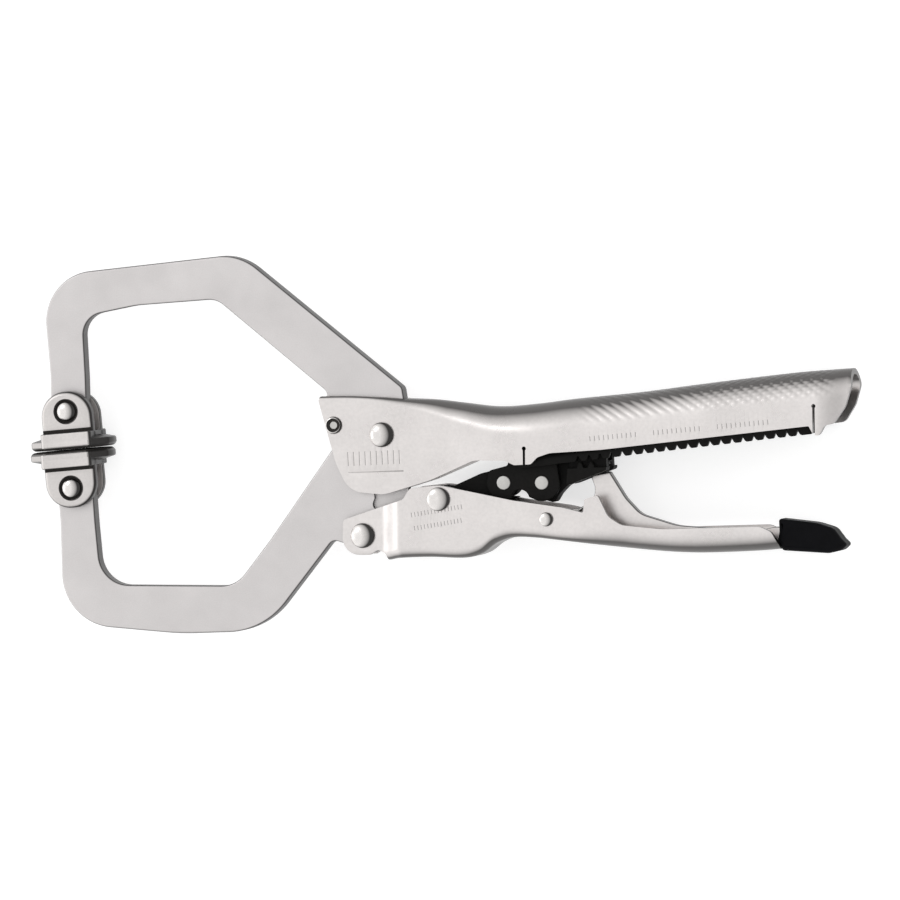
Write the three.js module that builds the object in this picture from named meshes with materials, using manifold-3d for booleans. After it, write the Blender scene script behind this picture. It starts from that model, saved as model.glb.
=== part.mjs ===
// Locking C-clamp pliers with swivel pads, lying on one side. Millimetres, +Z up out of that side.
import * as THREE from "three";
import { mergeVertices, toCreasedNormals } from "three/addons/utils/BufferGeometryUtils.js";
import Module from "manifold-3d";

const wasm = await Module();
wasm.setup();

// Layers through the thickness, as distances from the middle plane
const HALF_THICKNESS = 10.5;
const GAP = 0.3;
const SHEET = 2.0;
const JAW_HALF = 3.0;
const NOSE_HALF = 5.3;
const END_PINCH = 2.2;
const LEVER_EAR_HALF = 5.3;
const LEVER_HALF = 8.7;
const CHEEK_INNER = 3.3;
const CHEEK_OUTER = 5.8;
const NEAR_NOTCH = 27.5;
const FAR_NOTCH = 25.4;
const RACK_OUTER = 8.2;
const RACK_INNER = 6.2;
const RELEASE_HALF = 2.0;
const TIP_HALF = 4.5;
const EAR_OUTER = 6.8;

const FRAME_SHIFT = [0.39, 0.49, HALF_THICKNESS];

// Pivot centres at rest
const JAW_PIVOT = [-19.55, 2.98];
const LEVER_PIVOT = [-26.38, -30.47];
const LINK_PIVOT = [0.44, -18.2];
const SHUTTLE_PIVOT = [21.98, -12.9];
const PAWL_PIVOT = [34.96, -12.9];
const RELEASE_PIVOT = [37.07, -24.84];
const UPPER_PAD_PIVOT = [-127.6, 10.75];
const LOWER_PAD_PIVOT = [-126.1, -14.7];
const FRONT_RIVET = [-35.95, 6.13];

// Radii of the pins and of the holes round them
const MAIN_PIN = 2.5;
const MAIN_HOLE = 2.8;
const MAIN_HEAD = 3.9;
const SMALL_PIN = 1.7;
const SMALL_HOLE = 2.0;
const FRONT_RIVET_RADIUS = 2.3;
const JAW_EYE = 11.4;
const LEVER_LUG = 6.3;
const LINK_FREE_HOLE = 3.1;

// Rack and pawl, along a line that starts at the shuttle pivot
const RACK_SLOPE = THREE.MathUtils.degToRad(6.48);
const TOOTH_PITCH = 3.75;
const TOOTH_DEPTH = 1.7;
const TOOTH_TIPS = 4.2;
const NOTCH_HALF_MOUTH = 1.03;
const NOTCH_HALF_ROOT = 0.16;
const FIRST_NOTCH = 26.75;
const RACK_START = 6;
const RACK_END = 106.5;
const RACK_TOP = 14.5;
const SHUTTLE_TRAVEL = 5 * TOOTH_PITCH;
const PAWL_LIFT = THREE.MathUtils.degToRad(4);
const PAWL_BITE = 0.6;
const PAWL_TOOTH = 1.9;
const PAWL_TEETH = 2;
const FIN_TOP = 7.2;
const FIN_INNER = 3.1;
const FIN_OUTER = 5.9;
const GUIDE_ALONG = 14;
const ANCHOR_ALONG = 99;
const SPRING_LINE = 9.6;

// Swivel pads
const PAD_RADIUS = 14.2;
const PAD_RIM = 3.1;
const PAD_FOOT = 4.3;
const PAD_SADDLE = 5.6;
const PAD_REACH = 12.55;
const PAD_EAR_HALF = 8.7;
const PAD_TILT = THREE.MathUtils.degToRad(4.8);

const STEEL = { color: 0xc9c6c4, roughness: 0.3, metalness: 1 };
const JAW_STEEL = { color: 0xbdb9b6, roughness: 0.42, metalness: 1 };
const RIVET_STEEL = { color: 0xd2cfcc, roughness: 0.25, metalness: 1 };
const BLACK_STEEL = { color: 0x23211f, roughness: 0.45, metalness: 0.7 };
const SPRING_STEEL = { color: 0x8d8a86, roughness: 0.35, metalness: 1 };
const VINYL = { color: 0x111112, roughness: 0.35, metalness: 0 };

// Corners are [x, y, fillet radius]; each fillet becomes a run of short chords
function filleted(corners) {
  const points = [];
  corners.forEach((corner, i) => {
    const before = corners.at(i - 1);
    const after = corners[(i + 1) % corners.length];
    points.push(...fillet(before, corner, after));
  });
  return points.filter((point, i) => point.distanceTo(points.at(i - 1)) > 0.02);
}

function fillet(before, corner, after) {
  const here = new THREE.Vector2(corner[0], corner[1]);
  const back = new THREE.Vector2(before[0], before[1]).sub(here).normalize();
  const ahead = new THREE.Vector2(after[0], after[1]).sub(here).normalize();
  const radius = corner[2] ?? 0;
  const half = Math.acos(THREE.MathUtils.clamp(back.dot(ahead), -1, 1)) / 2;
  const sweep = Math.PI - 2 * half;
  if (radius === 0 || sweep < 0.02) {
    return [here];
  }
  const start = here.clone().addScaledVector(back, radius / Math.tan(half));
  const middle = back.clone().add(ahead).normalize();
  const centre = here.clone().addScaledVector(middle, radius / Math.sin(half));
  const turn = back.cross(ahead) > 0 ? -sweep : sweep;
  const chord = 2 * Math.acos(1 - Math.min(0.5, 0.06 / radius));
  const steps = Math.max(1, Math.ceil(sweep / chord));
  const points = [];
  for (let i = 0; i <= steps; i++) {
    points.push(start.clone().rotateAround(centre, turn * i / steps));
  }
  return points;
}

function solid(geometry) {
  const plain = geometry.index ? geometry.toNonIndexed() : geometry.clone();
  plain.deleteAttribute("normal");
  plain.deleteAttribute("uv");
  const merged = mergeVertices(plain, 1e-4);
  const source = merged.index.array;
  const kept = [];
  for (let i = 0; i < source.length; i += 3) {
    const [a, b, c] = source.subarray(i, i + 3);
    if (a !== b && b !== c && a !== c) {
      kept.push(a, b, c);
    }
  }
  return new wasm.Manifold(new wasm.Mesh({
    numProp: 3,
    vertProperties: new Float32Array(merged.attributes.position.array),
    triVerts: new Uint32Array(kept),
  }));
}

function plate(corners, low, high, bevel = 0, rounds = 1) {
  const shape = new THREE.Shape(filleted(corners));
  const geometry = new THREE.ExtrudeGeometry(shape, {
    depth: high - low - 2 * bevel,
    bevelEnabled: bevel > 0,
    bevelThickness: bevel,
    bevelSize: bevel,
    bevelOffset: -bevel,
    bevelSegments: rounds,
    steps: 1,
  });
  geometry.translate(0, 0, low + bevel);
  return solid(geometry);
}

function drum(centre, radius, low, high, sides = 28) {
  const geometry = new THREE.CylinderGeometry(radius, radius, high - low, sides);
  geometry.rotateX(Math.PI / 2);
  geometry.translate(centre[0], centre[1], (low + high) / 2);
  return solid(geometry);
}

function block(xs, ys, zs) {
  const size = [xs[1] - xs[0], ys[1] - ys[0], zs[1] - zs[0]];
  const geometry = new THREE.BoxGeometry(...size);
  geometry.translate((xs[0] + xs[1]) / 2, (ys[0] + ys[1]) / 2, (zs[0] + zs[1]) / 2);
  return solid(geometry);
}

// A turned part along Z; the profile is [radius, height] from one end to the other
function turned(centre, profile, sides = 28) {
  const points = profile.map(([radius, height]) => new THREE.Vector2(radius, height));
  const geometry = new THREE.LatheGeometry(points, sides);
  geometry.rotateX(Math.PI / 2);
  geometry.translate(centre[0], centre[1], 0);
  const body = solid(geometry);
  return body.volume() < 0 ? solid(flipped(geometry)) : body;
}

function flipped(geometry) {
  const plain = geometry.index ? geometry.toNonIndexed() : geometry;
  const positions = plain.attributes.position;
  for (let i = 0; i < positions.count; i += 3) {
    const [x, y, z] = [positions.getX(i), positions.getY(i), positions.getZ(i)];
    positions.setXYZ(i, positions.getX(i + 1), positions.getY(i + 1), positions.getZ(i + 1));
    positions.setXYZ(i + 1, x, y, z);
  }
  return plain;
}

// Both ends of a rivet are shallow domes that start at the height given as seat
function rivet(centre, shank, head, seat, rise) {
  const dome = [];
  const steps = 5;
  for (let i = 0; i <= steps; i++) {
    const angle = Math.PI / 2 * i / steps;
    dome.push([head * Math.sin(angle), seat + 0.35 + (rise - 0.35) * Math.cos(angle)]);
  }
  const top = [...dome, [head, seat], [shank, seat]];
  const bottom = top.map(([radius, height]) => [radius, -height]);
  return turned(centre, [...bottom, ...top.reverse()]);
}

function heightAt(points, x) {
  const last = points.length - 2;
  const found = points.findIndex((point, i) => i <= last && x <= points[i + 1][0]);
  const i = found < 0 ? last : found;
  const [x0, y0] = points[i];
  const [x1, y1] = points[i + 1];
  const t = THREE.MathUtils.clamp((x - x0) / (x1 - x0), 0, 1);
  const entry = slopeAt(points, i) * (x1 - x0);
  const exit = slopeAt(points, i + 1) * (x1 - x0);
  const bend = t * (1 - t) * ((1 - t) * (entry - (y1 - y0)) + t * ((y1 - y0) - exit));
  return y0 + (y1 - y0) * t + bend;
}

function slopeAt(points, i) {
  const [x0, y0] = points[Math.max(i - 1, 0)];
  const [x1, y1] = points[Math.min(i + 1, points.length - 1)];
  return (y1 - y0) / (x1 - x0);
}

function blend(x, from, to, low, high) {
  return THREE.MathUtils.lerp(low, high, THREE.MathUtils.smoothstep(x, from, to));
}

// Stations of the lower handle stand closest where its ears spread and its floor steps up
function stationStep(x) {
  if (x < -24 || x > 44) {
    return 6;
  }
  return x < -14 ? 1.6 : 3.4;
}

// Half a channel's section, from the free edge of one wall to the other round the closed side
function arch(x, crown, half, radius, foot) {
  const side = Math.sign(crown - foot);
  const near = [];
  const steps = 6;
  for (let i = 0; i <= steps; i++) {
    const angle = Math.PI / 2 * i / steps;
    const y = crown - side * radius * (1 - Math.sin(angle));
    near.push(new THREE.Vector3(x, y, half - radius * (1 - Math.cos(angle))));
  }
  near.unshift(new THREE.Vector3(x, foot, half));
  const far = near.map((point) => new THREE.Vector3(point.x, point.y, -point.z)).reverse();
  return [...near, ...far];
}

// Skins a row of stations, each a closed loop of an outer and an inner arch
function channel(stations) {
  const size = stations[0].outer.length;
  const points = stations.flatMap((station) => [...station.outer, ...station.inner]);
  const at = (i, j, inner) => 2 * size * i + (inner ? size : 0) + j;
  const index = [];
  const quad = (a, b, c, d) => index.push(a, b, c, a, c, d);
  for (let i = 0; i + 1 < stations.length; i++) {
    for (let j = 0; j + 1 < size; j++) {
      quad(at(i, j), at(i, j + 1), at(i + 1, j + 1), at(i + 1, j));
      quad(at(i, j, 1), at(i + 1, j, 1), at(i + 1, j + 1, 1), at(i, j + 1, 1));
    }
    quad(at(i, 0), at(i + 1, 0), at(i + 1, 0, 1), at(i, 0, 1));
    quad(at(i, size - 1), at(i, size - 1, 1), at(i + 1, size - 1, 1), at(i + 1, size - 1));
  }
  const end = stations.length - 1;
  for (let j = 0; j + 1 < size; j++) {
    quad(at(0, j), at(0, j, 1), at(0, j + 1, 1), at(0, j + 1));
    quad(at(end, j), at(end, j + 1), at(end, j + 1, 1), at(end, j, 1));
  }
  const geometry = new THREE.BufferGeometry().setFromPoints(points);
  geometry.setIndex(index);
  const body = solid(geometry);
  return body.volume() < 0 ? solid(flipped(geometry)) : body;
}

function onRack(along, up) {
  return new THREE.Vector2(along, up)
    .rotateAround(new THREE.Vector2(), RACK_SLOPE)
    .add(new THREE.Vector2(...SHUTTLE_PIVOT));
}

function rackPoint(along, up) {
  const point = onRack(along, up);
  return [point.x, point.y];
}

// Where a point of the engaged pawl sits when the pawl has dropped clear of the rack
function dropped(along, up) {
  const point = onRack(along, up).rotateAround(new THREE.Vector2(...PAWL_PIVOT), -PAWL_LIFT);
  return [point.x, point.y];
}

function wire(points, radius, sides = 5) {
  const path = new THREE.CatmullRomCurve3(points, false, "centripetal");
  const section = new THREE.Shape(new THREE.EllipseCurve(0, 0, radius, radius).getPoints(sides).slice(1));
  const geometry = new THREE.ExtrudeGeometry(section, {
    steps: points.length - 1,
    extrudePath: path,
    bevelEnabled: false,
  });
  const body = solid(geometry);
  return body.volume() < 0 ? solid(flipped(geometry)) : body;
}

// Upper handle: a pressed channel, narrow and slotted at the nose, round-backed along the grip

function upperHandleBlank() {
  const crownLine = [[-46, 15.5], [-30, 15.7], [-13, 14.9], [-1, 14.4], [8, 13.4], [20, 12.2],
    [33, 13.1], [45, 14.6], [68, 16.9], [89, 19.6], [110, 22.1], [124, 23.6], [146, 25.1]];
  const stations = [];
  for (let x = -46; x <= 146; x += x < -8 || x > 52 ? 7.6 : 3.8) {
    const crown = heightAt(crownLine, x);
    const half = blend(x, -5, 27, NOSE_HALF, HALF_THICKNESS) - blend(x, 129, 142, 0, END_PINCH);
    const radius = Math.min(blend(x, -10, 36, 1.1, 11), half - 0.3);
    const hollow = Math.max(radius - SHEET, 0.4);
    stations.push({
      outer: arch(x, crown, half, radius, -20),
      inner: arch(x, crown - SHEET, half - SHEET, hollow, -20),
    });
  }
  return channel(stations);
}

function upperHandleSide() {
  return plate([
    [-41.5, 15.7, 1.8], [-30, 18], [140.2, 34], [139.6, 26], [140.6, 19.0, 5], [138.6, 12.4, 5],
    [134.8, 6.6, 3], [132.0, 6.3, 1.5], [129.2, 1.1, 1.6], [126.6, 6.0, 0.6], [56.2, -1.8],
    [38.8, -2.9, 6], [34.6, -4.3, 2.5], [32.4, -6.6, 1.5], [26.6, -6.9, 1.5], [23.4, -5.5, 3],
    [12.4, -5.4, 8], [-3, -12.1, 30], [-19, -16.9, 12], [-30.9, -15.8, 8], [-35.4, -6.4, 14],
  ], -12, 12);
}

function bendRelief(x, bottom, top) {
  const slit = block([x - 0.55, x + 0.55], [bottom, top], [-12, 12]);
  return slit.add(drum([x, top], 0.8, -12, 12, 12));
}

function upperHandle() {
  return upperHandleBlank()
    .intersect(upperHandleSide())
    .subtract(block([-50, -12.5], [6, 20], [-NOSE_HALF + SHEET, NOSE_HALF - SHEET]))
    .subtract(drum(JAW_PIVOT, MAIN_HOLE, -12, 12))
    .subtract(drum(FRONT_RIVET, FRONT_RIVET_RADIUS + GAP, -12, 12))
    .subtract(bendRelief(30.1, -9, -1.4))
    .subtract(bendRelief(128.3, -3, 12.6))
    .subtract(plate([[126.8, -2], [126.8, 5.9], [133, 6.35], [133, -2]], -12, 0));
}

// Upper jaw: a thick C plate whose root is held in the nose, clear of the lower jaw's eye

function upperJaw() {
  const [x, y] = UPPER_PAD_PIVOT;
  return plate([
    [x - 6.25, y], [-133.7, 22, 60], [-136.4, 55.6, 17], [-68.3, 62.9, 18], [-13, 18.6, 2.4],
    [-14.2, 10], [-29.2, 9.7], [-36.7, -0.7], [-38.7, 4.2], [-39.9, 9.3, 4], [-38.5, 17, 3],
    [-76.3, 47.9, 7], [-104, 45.9, 40], [-122.5, 42.2, 7.5], [-121.6, 22, 60], [x + 6.25, y],
  ], -JAW_HALF, JAW_HALF, 0.55)
    .add(turnedBoss(UPPER_PAD_PIVOT, 6.25))
    .subtract(drum(JAW_PIVOT, JAW_EYE + 0.4, -12, 12, 48))
    .subtract(drum(FRONT_RIVET, FRONT_RIVET_RADIUS + GAP, -12, 12))
    .subtract(drum(UPPER_PAD_PIVOT, 2.5, -12, 12));
}

// A round boss with the same edge bevel as the jaw plates
function turnedBoss(centre, radius, half = JAW_HALF, bevel = 0.55) {
  return turned(centre, [
    [0, -half], [radius - bevel, -half], [radius, bevel - half],
    [radius, half - bevel], [radius - bevel, half], [0, half],
  ], 40);
}

function lowerJaw() {
  const [x, y] = LOWER_PAD_PIVOT;
  return plate([
    [x - 6.1, y], [-130.9, -27, 60], [-130.4, -59.9, 18], [-90, -63.3, 80], [-61.3, -62.4, 26],
    [-37.2, -32.0, 2.6], [-30, -34.6], [-22, -33], [-12.2, -17.6, 9], [-8.6, -8], [-10, 3],
    [-20, 10], [-28.8, 9.64], [-58.8, -32.1, 90], [-70.8, -47.4, 10], [-117, -47.2, 10.5],
    [-118.8, -27, 40], [x + 6.1, y],
  ], -JAW_HALF, JAW_HALF, 0.55)
    .add(turnedBoss(LOWER_PAD_PIVOT, 6.1))
    .add(turnedBoss(JAW_PIVOT, JAW_EYE))
    .add(turnedBoss(LEVER_PIVOT, LEVER_LUG))
    .subtract(drum(JAW_PIVOT, MAIN_HOLE, -12, 12))
    .subtract(drum(LEVER_PIVOT, MAIN_HOLE, -12, 12))
    .subtract(drum(LOWER_PAD_PIVOT, 2.5, -12, 12));
}

// Rack: a liner inside the grip with a row of notches along both free edges

function rackOutline() {
  const points = [rackPoint(RACK_START, RACK_TOP), rackPoint(RACK_START, TOOTH_TIPS)];
  const roots = TOOTH_TIPS + TOOTH_DEPTH;
  for (let along = FIRST_NOTCH; along < RACK_END - 4; along += TOOTH_PITCH) {
    points.push(rackPoint(along - NOTCH_HALF_MOUTH, TOOTH_TIPS));
    points.push(rackPoint(along - NOTCH_HALF_ROOT, roots));
    points.push(rackPoint(along + NOTCH_HALF_ROOT, roots));
    points.push(rackPoint(along + NOTCH_HALF_MOUTH, TOOTH_TIPS));
  }
  points.push(rackPoint(RACK_END, TOOTH_TIPS), rackPoint(RACK_END, RACK_TOP));
  return points;
}

function rack() {
  const hollow = [
    rackPoint(RACK_START - 2, -8), rackPoint(RACK_START - 2, RACK_TOP - 1.6),
    rackPoint(RACK_END + 2, RACK_TOP - 1.6), rackPoint(RACK_END + 2, -8),
  ];
  const from = GUIDE_ALONG;
  const to = GUIDE_ALONG + SHUTTLE_TRAVEL;
  const slot = plate([
    [...rackPoint(from - 1.8, SPRING_LINE - 1.8), 1.75],
    [...rackPoint(from - 1.8, SPRING_LINE + 1.8), 1.75],
    [...rackPoint(to + 1.8, SPRING_LINE + 1.8), 1.75],
    [...rackPoint(to + 1.8, SPRING_LINE - 1.8), 1.75],
  ], -12, 12);
  return plate(rackOutline(), -RACK_OUTER, RACK_OUTER)
    .subtract(plate(hollow, -RACK_INNER, RACK_INNER))
    .subtract(slot)
    .subtract(drum(rackPoint(ANCHOR_ALONG, SPRING_LINE), 1.7, -12, 12, 16));
}

// Shuttle: two cheeks pinned together, sliding along the rack

function cheek(low, high, notchAt) {
  const [x, y] = SHUTTLE_PIVOT;
  const right = PAWL_PIVOT[0];
  return plate([
    [x - 5.8, y], [16.9, -8.9, 1.5], [23.4, -7.2, 1], [...rackPoint(3.2, 12.2), 3],
    [...rackPoint(18.4, 12.2), 3], [right + 6.1, y],
  ], low, high)
    .add(drum(SHUTTLE_PIVOT, 5.8, low, high, 32))
    .add(drum(PAWL_PIVOT, 6.1, low, high, 32))
    .subtract(drum([notchAt, -18.3], 3.1, -12, 12, 24))
    .subtract(drum(SHUTTLE_PIVOT, SMALL_HOLE, -12, 12))
    .subtract(drum(PAWL_PIVOT, SMALL_HOLE, -12, 12))
    .subtract(drum(rackPoint(GUIDE_ALONG, SPRING_LINE), 1.7, -12, 12, 16));
}

function pin(centre, radius, half) {
  return turned(centre, [
    [0, -half], [radius - 0.2, -half], [radius, 0.2 - half],
    [radius, half - 0.2], [radius - 0.2, half], [0, half],
  ], 20);
}

function toggleLink() {
  return plate([
    [-2.2, -14.8, 1], [3.0, -14.6, 8], [13.6, -9.9, 8], [20, -7.8], [24.4, -13.3],
    [22.3, -17.6, 2], [13, -20.2, 20], [1.4, -22.4, 3], [-3.6, -19.6, 2],
  ], -JAW_HALF, JAW_HALF, 0.4)
    .add(turnedBoss(LINK_PIVOT, 4.4, JAW_HALF, 0.4))
    .add(turnedBoss(SHUTTLE_PIVOT, 4.9, JAW_HALF, 0.4))
    .subtract(drum(LINK_PIVOT, MAIN_HOLE, -12, 12))
    .subtract(drum(SHUTTLE_PIVOT, LINK_FREE_HOLE, -12, 12));
}

// Pawl: a core between the cheeks and toothed wings under both rows of rack notches

function pawlTooth(along) {
  const tip = TOOTH_TIPS + PAWL_BITE;
  const root = tip - PAWL_TOOTH;
  return [
    dropped(along - 1.2, root - 0.4), dropped(along - 1.2, root), dropped(along - 0.25, tip),
    dropped(along + 0.25, tip), dropped(along + 1.2, root), dropped(along + 1.2, root - 0.4),
  ];
}

function pawl() {
  const tip = TOOTH_TIPS + PAWL_BITE;
  const root = tip - PAWL_TOOTH;
  const core = plate([
    [33, -18.2], [38.6, -19.6, 1.2], [40.4, -16.6, 2], [43.0, -13.9, 3], [52.7, -10.3, 8],
    [57.0, -8.7, 1], dropped(35.4, tip), [...dropped(21.5, tip), 3], [35.5, -7.5],
  ], -JAW_HALF, JAW_HALF);
  let toothed = plate([
    [57.4, -8.7, 0.8], [43.8, -13.8, 0.5], dropped(22.4, root), dropped(35.6, root),
  ], -RACK_OUTER, RACK_OUTER);
  for (let i = 0; i < PAWL_TEETH; i++) {
    const tooth = plate(pawlTooth(FIRST_NOTCH + i * TOOTH_PITCH), -RACK_OUTER, RACK_OUTER);
    toothed = toothed.add(tooth);
  }
  const fin = [
    dropped(22.6, root - 0.5), dropped(35.2, root - 0.5),
    dropped(35.2, FIN_TOP), dropped(22.6, FIN_TOP),
  ];
  const pocket = plate([
    [46.6, -17], [46.6, -10.0, 0.8], [55.5, -6.95], [61, -6.7], [61, -17],
  ], -RELEASE_HALF - 0.4, RELEASE_HALF + 0.4);
  return core
    .add(turnedBoss(PAWL_PIVOT, 5.6, JAW_HALF, 0.3))
    .add(toothed)
    .add(plate(fin, FIN_INNER, FIN_OUTER))
    .add(plate(fin, -FIN_OUTER, -FIN_INNER))
    .subtract(pocket)
    .subtract(drum(PAWL_PIVOT, SMALL_HOLE, -12, 12));
}

function strip(points, thickness, half) {
  const above = points.map(([along, up]) => rackPoint(along, up + thickness / 2));
  const below = points.map(([along, up]) => rackPoint(along, up - thickness / 2)).reverse();
  return plate([...above, ...below], -half, half);
}

function pawlSpring() {
  return strip([[15.6, 6.2], [18, 6.0], [21, 5.3], [24, 4.7], [27, 4.6], [30, 5.1]], 0.5, 2.4);
}

function returnSpring() {
  const loop = 2.3;
  const line = (along, up, z) => {
    const point = onRack(along, SPRING_LINE + up);
    return new THREE.Vector3(point.x, point.y, z);
  };
  const points = [];
  for (let i = 0; i <= 6; i++) {
    const angle = -Math.PI / 2 - Math.PI * i / 6;
    points.push(line(GUIDE_ALONG + loop * Math.cos(angle), loop * Math.sin(angle), 0));
  }
  const start = GUIDE_ALONG + 5;
  const end = ANCHOR_ALONG - 5;
  const turns = 17;
  for (let i = 0; i <= turns * 8; i++) {
    const angle = 2 * Math.PI * i / 8;
    const along = start + (end - start) * i / (turns * 8);
    points.push(line(along, loop * Math.cos(angle), loop * Math.sin(angle)));
  }
  for (let i = 0; i <= 6; i++) {
    const angle = Math.PI / 2 - Math.PI * i / 6;
    points.push(line(ANCHOR_ALONG + loop * Math.cos(angle), loop * Math.sin(angle), 0));
  }
  return wire(points, 0.45);
}

// Lower handle: ears on the jaw, a wider middle, then a round-bottomed grip

function lowerHandleBlank() {
  const crownLine = [[-36, -39], [-18, -38.6], [-14, -37.9], [-3, -37.5], [9, -37.7], [14.8, -36.2],
    [19.6, -32.8], [25, -31.0], [32, -31.0], [40, -31.8], [60, -34.2], [78, -35.8], [90, -36.1],
    [108, -35.4], [118, -34.6]];
  const stations = [];
  for (let x = -36; x <= 118; x += stationStep(x)) {
    const crown = heightAt(crownLine, x);
    const half = blend(x, -21, -15.4, LEVER_EAR_HALF, LEVER_HALF);
    const radius = blend(x, 40, 66, 2.3, 7.3);
    stations.push({
      outer: arch(x, crown, half, radius, -10),
      inner: arch(x, crown + SHEET, half - SHEET, radius - SHEET + 0.3, -10),
    });
  }
  return channel(stations);
}

function lowerHandleSide() {
  return plate([
    [-33.4, -36.9, 5.6], [-33.1, -25.3, 1.6], [-22, -21.6, 12], [-11.8, -18.4, 2],
    [-9.4, -14.7, 1.6], [0.5, -13.6, 12], [12.6, -16.0, 30], [26, -18.7, 30], [42, -20.9, 15],
    [49.6, -22.7, 0.5], [50.0, -18.2, 0.8], [54.5, -16.8, 1], [58.0, -24.0, 5], [62.4, -26.8, 6],
    [76.3, -28.1, 30], [109.4, -27.2, 5], [113.2, -29.0, 2.5], [115.2, -33.4, 0.8], [114.6, -42],
    [-16.9, -42], [-18.6, -36.4, 1.2], [-21.4, -35.1, 1.2], [-24, -36.9, 1.2],
  ], -12, 12);
}

function lowerHandle() {
  return lowerHandleBlank()
    .intersect(lowerHandleSide())
    .subtract(block([-40, -16.2], [-45, -10], [-CHEEK_INNER, CHEEK_INNER]))
    .subtract(drum(LEVER_PIVOT, MAIN_HOLE, -12, 12))
    .subtract(drum(LINK_PIVOT, MAIN_HOLE, -12, 12))
    .subtract(drum(RELEASE_PIVOT, 1.9, -12, 12));
}

function washer(centre, hole, outer, low, high) {
  return drum(centre, outer, low, high, 24).subtract(drum(centre, hole, low - 1, high + 1, 24));
}

function frontRivet() {
  const seat = NOSE_HALF + GAP;
  const half = [
    [1.5, 0], [1.5, seat - 0.1], [1.9, seat + 0.55], [2.6, seat + 0.6], [2.9, seat + 0.3],
    [2.9, seat], [FRONT_RIVET_RADIUS, seat], [FRONT_RIVET_RADIUS, 0],
  ];
  const mirrored = half.map(([radius, height]) => [radius, -height]).reverse().slice(1, -1);
  return turned(FRONT_RIVET, [...half, ...mirrored, half[0]], 24);
}

// Release lever: its short arm reaches under the pawl, its tail lies in the grip

function releaseLever() {
  return plate([
    [36.5, -20.9], [43, -21.8, 3], [50.4, -21.4, 2.5], [52.4, -15.2, 5], [50.7, -10.8, 0.9],
    [57.0, -9.3, 1.1], [62.6, -18.2, 10], [67.5, -23.4, 8], [80, -27.2, 20], [106, -29.0, 20],
    [113, -27.6, 8], [119, -27.6], [129.2, -29.5, 3], [132.7, -31.4, 1.5], [129.2, -33.0, 2],
    [115, -32.0, 10], [100, -32.8, 20], [80, -33.0, 30], [60, -31.3, 20], [46, -29.4, 10],
    [37, -28.8],
  ], -RELEASE_HALF, RELEASE_HALF, 0.3)
    .add(turnedBoss(RELEASE_PIVOT, 4, RELEASE_HALF, 0.3))
    .subtract(drum(RELEASE_PIVOT, 1.9, -12, 12, 20));
}

function releaseTip() {
  const cover = plate([
    [115.0, -25.0, 2.0], [127.6, -26.1, 14], [133.6, -28.2, 4], [138.0, -33.2, 2.2],
    [132.8, -36.2, 5], [116.8, -35.1, 1.9], [114.3, -31.0, 1.9],
  ], -TIP_HALF, TIP_HALF, 1.8, 3);
  const socket = plate([
    [110, -26.9], [119.2, -27.2], [129.6, -29.0, 2], [133.4, -31.4, 1], [129.6, -33.4, 2],
    [115, -32.5], [110, -32.7],
  ], -RELEASE_HALF - GAP, RELEASE_HALF + GAP);
  return cover.subtract(socket);
}

function releaseSpring() {
  const [x, y] = RELEASE_PIVOT;
  const coil = 3.4;
  const [low, high] = [2.9, 5.5];
  const at = (angle, radius, z) => new THREE.Vector3(
    x + radius * Math.cos(angle), y + radius * Math.sin(angle), z,
  );
  const from = THREE.MathUtils.degToRad(-55);
  const to = THREE.MathUtils.degToRad(78 - 3 * 360);
  const tail = (angle, side, radius, z) => at(angle + side * Math.acos(coil / radius), radius, z);
  const points = [tail(from, 1, 13, low), tail(from, 1, 6, low)];
  for (let i = 0; i <= 26; i++) {
    points.push(at(from + (to - from) * i / 26, coil, low + (high - low) * i / 26));
  }
  points.push(tail(to, -1, 6, high), tail(to, -1, 11, high));
  return wire(points, 0.4);
}

// Swivel pad: a round foot with two flats, and two ears over the jaw's end

function padFoot() {
  const profile = [
    [0, 0], [PAD_RADIUS - 0.5, 0], [PAD_RADIUS, 0.5], [PAD_RADIUS, PAD_RIM - 0.6],
    [PAD_RADIUS - 0.6, PAD_RIM], [9.2, PAD_FOOT], [0, PAD_FOOT],
  ].map(([radius, height]) => new THREE.Vector2(radius, height));
  const foot = solid(new THREE.LatheGeometry(profile, 64));
  const corner = (7.7 + HALF_THICKNESS) / Math.SQRT2;
  const clip = new THREE.BoxGeometry(2 * corner, 40, 2 * corner).rotateY(Math.PI / 4);
  return foot
    .intersect(solid(clip))
    .intersect(block([-20, 20], [-1, 10], [-HALF_THICKNESS, HALF_THICKNESS]))
    .add(block([-PAD_EAR_HALF, PAD_EAR_HALF], [0.6, PAD_SADDLE], [-HALF_THICKNESS, HALF_THICKNESS])
      .intersect(solid(clip)));
}

function padEar(low, high) {
  const top = PAD_REACH + 6.6;
  return plate([
    [-PAD_EAR_HALF, 2], [-PAD_EAR_HALF, top, 8.2], [PAD_EAR_HALF, top, 8.2], [PAD_EAR_HALF, 2],
  ], low, high, 0.5);
}

function pad() {
  const inner = JAW_HALF + GAP;
  const pivot = [0, PAD_REACH];
  return padFoot()
    .add(padEar(inner, EAR_OUTER))
    .add(padEar(-EAR_OUTER, -inner))
    .subtract(drum(pivot, 2.5, -12, 12))
    .subtract(drum(pivot, 4.1, EAR_OUTER - 1, 12))
    .subtract(drum(pivot, 4.1, -12, 1 - EAR_OUTER));
}

function placedPad(pivot, turn) {
  return pad()
    .translate([0, -PAD_REACH, 0])
    .rotate([0, 0, THREE.MathUtils.radToDeg(turn)])
    .translate([pivot[0], pivot[1], 0]);
}

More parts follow.
